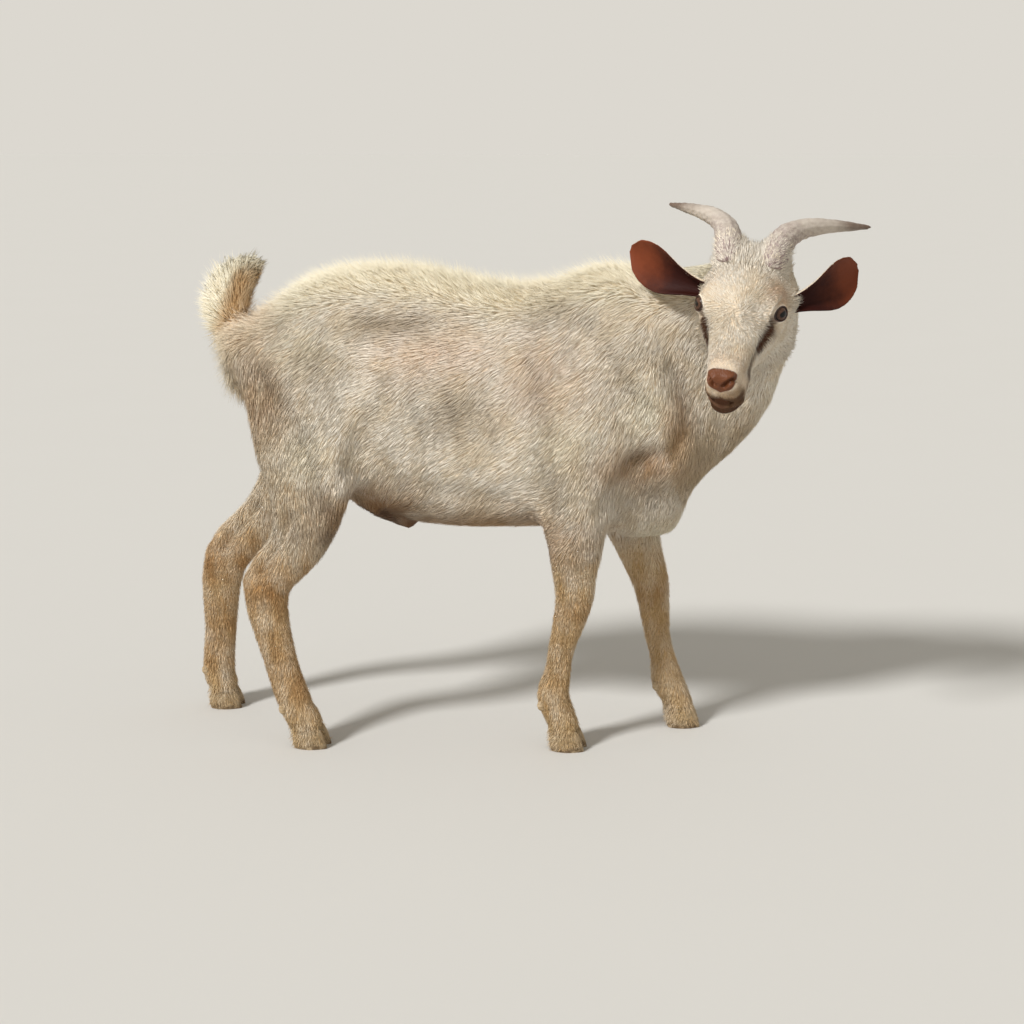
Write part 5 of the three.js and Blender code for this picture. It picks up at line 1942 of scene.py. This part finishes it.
class Graph:
    """Adds nodes to one tree and joins them."""

    def __init__(self, tree: bpy.types.NodeTree) -> None:
        """Takes the tree to build in."""
        self.tree = tree

    def give(self, socket: Socket, value: object) -> None:
        """Joins an input to a value that is a socket, and sets it to any other.

        Args:
            socket: the input.
            value: what it gets: a socket, a number or a colour's code.
        """
        if isinstance(value, Socket):
            self.tree.links.new(value, socket)
        else:
            socket.default_value = linear(value) if isinstance(value, str) else value

    def node(
            self, kind: str, inputs: dict[int | str, object] | None = None,
            **settings: object) -> bpy.types.Node:
        """Adds a node.

        Args:
            kind: its type.
            inputs: what its inputs get, by number or name.
            settings: its own properties.

        Returns:
            The node.
        """
        node = self.tree.nodes.new(kind)
        for key, value in settings.items():
            setattr(node, key, value)
        for key, value in (inputs or {}).items():
            self.give(node.inputs[key], value)
        return node

    def value(self, name: str) -> Socket:
        """A number held on the mesh."""
        return self.node("ShaderNodeAttribute", attribute_name=name).outputs["Fac"]

    def place(self) -> Socket:
        """The place in the object's own frame."""
        return self.node("ShaderNodeTexCoord").outputs["Object"]

    def math(self, operation: str, *values: object, clamp: bool = False) -> Socket:
        """One sum."""
        inputs = dict(enumerate(values))
        return self.node("ShaderNodeMath", inputs, operation=operation, use_clamp=clamp).outputs[0]

    def power(self, value: object, exponent: float) -> Socket:
        """The size of a value raised to a power."""
        return self.math("POWER", self.math("ABSOLUTE", value), exponent)

    def between(
            self, value: object, low: float, high: float,
            to_low: float = 0, to_high: float = 1) -> Socket:
        """A smooth step of a value from one range to another."""
        inputs = {"Value": value, "From Min": low, "From Max": high, "To Min": to_low, "To Max": to_high}
        return self.node("ShaderNodeMapRange", inputs, interpolation_type="SMOOTHSTEP").outputs["Result"]

    def noise(
            self, scale: float, detail: float = 3, rough: float = 0.6,
            place: Socket | None = None) -> Socket:
        """Noise of a size, in swells to the metre."""
        inputs = {"Vector": place or self.place(), "Scale": scale, "Detail": detail, "Roughness": rough}
        return self.node("ShaderNodeTexNoise", inputs).outputs["Fac"]

    def mix(self, share: object, first: object, second: object, blend: str = "MIX") -> Socket:
        """A mix of two colours."""
        inputs = {0: share, 6: first, 7: second}
        return self.node("ShaderNodeMix", inputs, data_type="RGBA", blend_type=blend).outputs[2]

    def group(self, name: str, inputs: dict[str, object]) -> bpy.types.Node:
        """Places a shared group."""
        return self.node("ShaderNodeGroup", inputs, node_tree=bpy.data.node_groups[name])


def new_group(
        name: str, inputs: dict[str, str],
        outputs: dict[str, str]) -> tuple[Graph, bpy.types.Node, bpy.types.Node]:
    """Starts a shared group.

    Args:
        name: of the group.
        inputs: the names and socket types of what goes in.
        outputs: the names and socket types of what comes out.

    Returns:
        The graph, its input node and its output node.
    """
    tree = bpy.data.node_groups.new(name, "ShaderNodeTree")
    for direction, sockets in (("INPUT", inputs), ("OUTPUT", outputs)):
        for label, kind in sockets.items():
            tree.interface.new_socket(label, in_out=direction, socket_type=kind)
    return Graph(tree), tree.nodes.new("NodeGroupInput"), tree.nodes.new("NodeGroupOutput")


@dataclass(frozen=True)
class CoatColours:
    """The colours of the coat and its markings, each laid over the ones before it; the orange-brown, grey,
    dark, tan and pink also paint shade, and the cream paints highlights, where the markings lay them.
    """

    base: str = "#fcf3e4"
    base_warm: str = "#f7e9d2"
    markings: tuple[tuple[Mask, str], ...] = (
        (Mask.CREAM, "#fbf3da"), (Mask.TAN, "#d8ba8c"), (Mask.PINK, "#edcdb4"), (Mask.GREY, "#ad9c84"),
        (Mask.OCHRE, "#b78a58"), (Mask.NOSE, "#6c4028"), (Mask.DARK, "#4c280d"))

    def build(self) -> None:
        """Makes the group that mixes them, and darkens the mix by Shade towards Shade Colour."""
        graph, given, out = new_group(
            "coat_colours", {"Shade": "NodeSocketFloat", "Shade Colour": "NodeSocketColor"},
            {"Colour": "NodeSocketColor"})
        broad = graph.noise(28, 4, 0.6)
        colour = graph.mix(graph.between(broad, 0.38, 0.66), self.base, self.base_warm)
        for mask, code in self.markings:
            colour = graph.mix(graph.value(mask.value), colour, code)
        colour = graph.mix(given.outputs["Shade"], colour, given.outputs["Shade Colour"], "MULTIPLY")
        graph.tree.links.new(colour, out.inputs["Colour"])


class Finish:
    """A material in the making: its graph and its shader."""

    def __init__(self, name: str, roughness: float, specular: float = 0.5, **plain: float) -> None:
        """Starts the material.

        Args:
            name: of the material.
            roughness: of the shader.
            specular: of the shader.
            plain: the values of its other sockets, named with _ for a space.
        """
        self.material = bpy.data.materials.new(name)
        self.material.use_nodes = True
        self.graph = Graph(self.material.node_tree)
        self.shader = self.material.node_tree.nodes["Principled BSDF"]
        self.shader.inputs["Roughness"].default_value = roughness
        self.shader.inputs["Specular IOR Level"].default_value = specular
        for key, value in plain.items():
            self.shader.inputs[key.replace("_", " ")].default_value = value

    def feed(self, socket: str, value: object) -> None:
        """Joins a value to one of the shader's sockets."""
        self.material.node_tree.links.new(value, self.shader.inputs[socket])

    def bump(self, height: object, depth: float, strength: float = 1.0) -> None:
        """Feeds a height, whose full step is depth metres, to the normal."""
        inputs = {"Height": height, "Distance": depth, "Strength": strength}
        self.feed("Normal", self.graph.node("ShaderNodeBump", inputs).outputs["Normal"])


@dataclass(frozen=True)
class CoatFinish:
    """The tufts: painted shade darkens each at the root, and each is a little lighter or darker than the
    next.
    """

    # Dim darkens the darker tufts and, as painted shade, the roots.
    dim: str = "#d9cab2"
    light: str = "#fffaf0"

    def build(self) -> bpy.types.Material:
        """Makes the material.

        Returns:
            The material.
        """
        finish = Finish("coat_hair", 0.62, 0.28)
        graph = finish.graph
        tint = graph.value("tint")
        shade = {"Shade": graph.between(tint, -1.0, 0.1, 0.42, 0.0), "Shade Colour": self.dim}
        colour = graph.group("coat_colours", shade).outputs["Colour"]
        colour = graph.mix(graph.between(tint, 0.1, 1.0, 0.0, 0.30), colour, self.light, "SOFT_LIGHT")
        # Painted shade: each tuft darker towards its root.
        root = graph.between(graph.value("tip"), 0.0, 0.4, 0.16, 0.0)
        colour = graph.mix(root, colour, self.dim, "MULTIPLY")
        finish.feed("Base Color", colour)
        finish.feed("Roughness", graph.between(tint, -1, 1, 0.72, 0.52))
        return finish.material


@dataclass(frozen=True)
class SkinFinish:
    """The skin: the coat's colours a little darker, bare nose, lips and lids, and the ears' hollows, reddish
    skin with painted shade that deepens towards their roots.
    """

    shade: str = "#d6c4a8"
    # Near black at the root of an ear's hollow: its reddish skin with painted shade.
    ear_deep: str = "#2c0700"
    ear_rim: str = "#7d3c20"

    def build(self) -> bpy.types.Material:
        """Makes the material.

        Returns:
            The material.
        """
        finish = Finish("goat_skin", 0.6, 0.20)
        graph = finish.graph
        haired = graph.math("SUBTRACT", 1.0, graph.value("bare"), clamp=True)
        shade = {"Shade": graph.math("MULTIPLY", haired, 0.6), "Shade Colour": self.shade}
        colour = graph.group("coat_colours", shade).outputs["Colour"]
        inner = graph.value("inner_ear")
        cloud = graph.math("MULTIPLY", graph.math("SUBTRACT", graph.noise(45, 4), 0.5), 0.8)
        paler = graph.math("ADD", graph.value("ear_reach"), cloud)
        towards_rim = graph.between(paler, 0.15, 1.15, 0.0, 0.85)
        # The hollow runs from painted shade at the ear's root to the paler rim.
        hollow = graph.mix(towards_rim, self.ear_deep, self.ear_rim)
        colour = graph.mix(graph.between(inner, 0.35, 0.75), colour, hollow)
        finish.feed("Base Color", colour)
        nose = graph.value(Mask.NOSE.value)
        cells = {"Vector": graph.place(), "Scale": 620}
        pores = graph.node("ShaderNodeTexVoronoi", cells).outputs["Distance"]
        fine = graph.noise(900, 3)
        wet = graph.between(nose, 0.3, 0.9, 0.66, 0.40)
        finish.feed("Roughness", graph.math("ADD", wet, graph.between(fine, 0.3, 0.7, -0.05, 0.08)))
        height = graph.math("ADD", graph.math("MULTIPLY", pores, nose), graph.math("MULTIPLY", fine, 0.5))
        finish.bump(height, 0.0004, 0.8)
        return finish.material


@dataclass(frozen=True)
class EyeFinish:
    """The eye: a dark ball, a streaked amber iris and a wide pupil under a wet cornea."""

    white: str = "#33221a"
    ring: str = "#1f130c"
    iris: str = "#6a4a38"
    iris_inner: str = "#38241a"
    pupil: str = "#060505"
    iris_radius: float = 7.6
    pupil_half: tuple[float, float] = (4.3, 2.7)

    def build(self) -> bpy.types.Material:
        """Makes the material.

        Returns:
            The material.
        """
        finish = Finish("eye_surface", 0.12, 0.20, Coat_Weight=0.12, Coat_Roughness=0.04)
        graph = finish.graph
        along, up, out = (graph.value(f"gaze_{name}") for name in ("along", "up", "out"))
        reach = graph.math("SQRT", graph.math("ADD", graph.power(along, 2.0), graph.power(up, 2.0)))
        angle = graph.math("ARCTAN2", up, along)
        spokes = graph.node("ShaderNodeCombineXYZ", {
            0: graph.math("MULTIPLY", graph.math("COSINE", angle), 9.0),
            1: graph.math("MULTIPLY", graph.math("SINE", angle), 9.0),
            2: graph.math("MULTIPLY", reach, 0.35)})
        streaks = graph.noise(1.6, 4, 0.65, spokes.outputs[0])
        colour = graph.mix(graph.between(streaks, 0.35, 0.68), self.iris_inner, self.iris)
        at_ring = graph.between(reach, self.iris_radius - 1.6, self.iris_radius)
        colour = graph.mix(at_ring, colour, self.ring)
        at_white = graph.between(reach, self.iris_radius + 0.3, self.iris_radius + 1.6)
        colour = graph.mix(at_white, colour, self.white)
        half_long, half_high = self.pupil_half
        across = graph.power(graph.math("DIVIDE", along, half_long), 3.0)
        down = graph.power(graph.math("DIVIDE", up, half_high), 3.0)
        slot = graph.between(graph.math("ADD", across, down), 1.35, 0.85)
        front = graph.between(out, 0.0, 1.0)
        colour = graph.mix(graph.math("MULTIPLY", front, slot), colour, self.pupil)
        finish.feed("Base Color", colour)
        return finish.material


@dataclass(frozen=True)
class HornFinish:
    """The horn: pale and chalky with a mauve-brown mottle low down and a brown tip."""

    pale: str = "#c6bbae"
    mottle: str = "#846d6c"
    groove: str = "#9a8a79"
    tip: str = "#5e4636"

    def build(self) -> bpy.types.Material:
        """Makes the material.

        Returns:
            The material.
        """
        finish = Finish("horn_sheath", 0.55, 0.4)
        graph = finish.graph
        rise = graph.value("rise")
        ring = graph.value("ring")
        flecks = graph.noise(330, 5, 0.75)
        patches = graph.noise(80, 4, 0.6)
        colour = graph.mix(graph.between(ring, 0.2, -0.8, 0.0, 0.22), self.pale, self.groove)
        low = graph.between(rise, 0.72, 0.22)
        spread = graph.math("MULTIPLY", graph.between(flecks, 0.40, 0.58), graph.between(patches, 0.30, 0.50))
        colour = graph.mix(graph.math("MULTIPLY", low, spread), colour, self.mottle)
        end = graph.math("ADD", rise, graph.math("MULTIPLY", graph.math("SUBTRACT", patches, 0.5), 0.25))
        colour = graph.mix(graph.between(end, 0.62, 0.96, 0.0, 0.92), colour, self.tip)
        finish.feed("Base Color", colour)
        finish.feed("Roughness", graph.between(rise, 0.4, 1.0, 0.62, 0.38))
        finish.bump(graph.math("ADD", flecks, graph.math("MULTIPLY", patches, 0.6)), 0.0007, 0.8)
        return finish.material


@dataclass(frozen=True)
class HoofFinish:
    """The hoof: tan horn with growth rings, streaks and soil near the ground."""

    wall: str = "#b8a383"
    band: str = "#967e5c"
    soil: str = "#6b563c"

    def build(self) -> bpy.types.Material:
        """Makes the material.

        Returns:
            The material.
        """
        finish = Finish("hoof_wall", 0.6, 0.4)
        graph = finish.graph
        ring = graph.value("ring")
        flecks = graph.noise(140, 4, 0.55)
        colour = graph.mix(graph.between(flecks, 0.35, 0.7), self.wall, self.band)
        colour = graph.mix(graph.between(ring, 0.1, -0.9, 0.0, 0.45), colour, self.band)
        height = graph.node("ShaderNodeSeparateXYZ", {0: graph.place()}).outputs["Z"]
        dirt = graph.math("MULTIPLY", graph.between(height, 0.012, 0.001), graph.between(flecks, 0.3, 0.6))
        colour = graph.mix(dirt, colour, self.soil)
        finish.feed("Base Color", colour)
        finish.feed("Roughness", graph.between(flecks, 0.3, 0.7, 0.5, 0.72))
        finish.bump(flecks, 0.0003, 0.6)
        return finish.material


@dataclass(frozen=True)
class LidFinish:
    """The lids' bare rims: dark, damp skin."""

    dark: str = "#2b1a13"
    brown: str = "#5a3b2b"

    def build(self) -> bpy.types.Material:
        """Makes the material.

        Returns:
            The material.
        """
        finish = Finish("lid_rim", 0.35, 0.5)
        graph = finish.graph
        grain = graph.noise(700, 3)
        colour = graph.mix(graph.between(grain, 0.4, 0.7), self.dark, self.brown)
        finish.feed("Base Color", colour)
        finish.bump(grain, 0.0002)
        return finish.material


# ---- stage


@dataclass(frozen=True)
class Stage:
    """The pale floor, the soft light and the camera."""

    floor_colour: str = "#d8d6d1"
    floor_grain: str = "#c9c6c0"
    sky: str = "#dcd8d0"
    floor_half: float = 40.0
    ambient: float = 0.60
    key: float = 3.05
    key_from: Triple = (-0.58, -0.72, 0.74)
    key_spread: float = 11.0
    camera_place: Triple = (0.23335, -2.18036, 0.700)
    camera_yaw: float = 6.05
    camera_pitch: float = 11.089
    lens: float = 70.3
    sensor: float = 36.0
    sight: float = 200.0

    def floor(self) -> None:
        """Lays the floor."""
        bpy.ops.mesh.primitive_plane_add(size=2 * self.floor_half)
        floor = bpy.context.active_object
        floor.name = "studio_floor"
        finish = Finish("studio_paper", 0.9, 0.1)
        grain = finish.graph.between(finish.graph.noise(3.0, 2), 0.2, 0.8, 0.0, 0.04)
        colour = finish.graph.mix(grain, self.floor_colour, self.floor_grain)
        finish.feed("Base Color", colour)
        floor.data.materials.append(finish.material)

    def light(self) -> None:
        """Sets the soft key light and the pale surroundings."""
        lamp = bpy.data.lights.new("key", "SUN")
        lamp.energy = self.key
        lamp.angle = math.radians(self.key_spread)
        key = bpy.data.objects.new("key", lamp)
        key.rotation_euler = Vector(self.key_from).to_track_quat("Z", "Y").to_euler()
        bpy.context.collection.objects.link(key)
        world = bpy.data.worlds.new("studio")
        bpy.context.scene.world = world
        world.use_nodes = True
        tree = world.node_tree
        graph = Graph(tree)
        seen = graph.node("ShaderNodeLightPath")
        through = graph.math("MAXIMUM", seen.outputs["Is Glossy Ray"], seen.outputs["Is Transmission Ray"])
        looks = graph.math("MAXIMUM", seen.outputs["Is Camera Ray"], through)
        strength = graph.between(looks, 0.0, 1.0, self.ambient, 1.0)
        background = tree.nodes["Background"]
        background.inputs["Color"].default_value = linear(self.sky)
        tree.links.new(strength, background.inputs["Strength"])

    def camera(self) -> None:
        """Stands the camera."""
        data = bpy.data.cameras.new("camera")
        data.lens = self.lens
        data.sensor_width = self.sensor
        data.clip_end = self.sight
        camera = bpy.data.objects.new("camera", data)
        camera.location = self.camera_place
        camera.rotation_euler = (math.radians(90 - self.camera_pitch), 0.0, math.radians(self.camera_yaw))
        bpy.context.collection.objects.link(camera)
        bpy.context.scene.camera = camera

    def build(self) -> None:
        """Sets all of it."""
        self.floor()
        self.light()
        self.camera()
        bpy.context.scene.view_settings.view_transform = "Standard"


# ---- the goat


def main() -> None:
    """Builds the goat on its stage."""
    logging.basicConfig(level=logging.INFO, format="%(message)s")
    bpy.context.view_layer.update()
    Stage().build()
    CoatColours().build()
    head = HeadFrame.between_eyes(turn=-106, nod=44, tilt=-8, behind=1, above=1)
    eyes = {label: EyeForm.of_side(head, label) for label in SIDES}
    skin_maker = Skin(head, Markings(head, Back.measured()), eyes)
    skin = skin_maker.build()
    finish_piece(skin, SkinFinish().build(), [*FLESH, *EARS])
    hair = CoatFinish().build()
    for piece in Coat(skin_maker, Lie(head)).grow(skin):
        finish_piece(piece, hair)
    surface, rim = EyeFinish().build(), LidFinish().build()
    sheath = HornFinish().build()
    for label in SIDES:
        eye = Eye(label, eyes[label])
        finish_piece(eye.ball(), surface, [f"eye_{label}"])
        finish_piece(eye.lid_edge(), rim)
        finish_piece(Horn(label).build(), sheath, [f"horn_{label}"])
    finish_piece(Hooves().build(), HoofFinish().build(), claw_nodes())


if __name__ == "__main__":
    main()
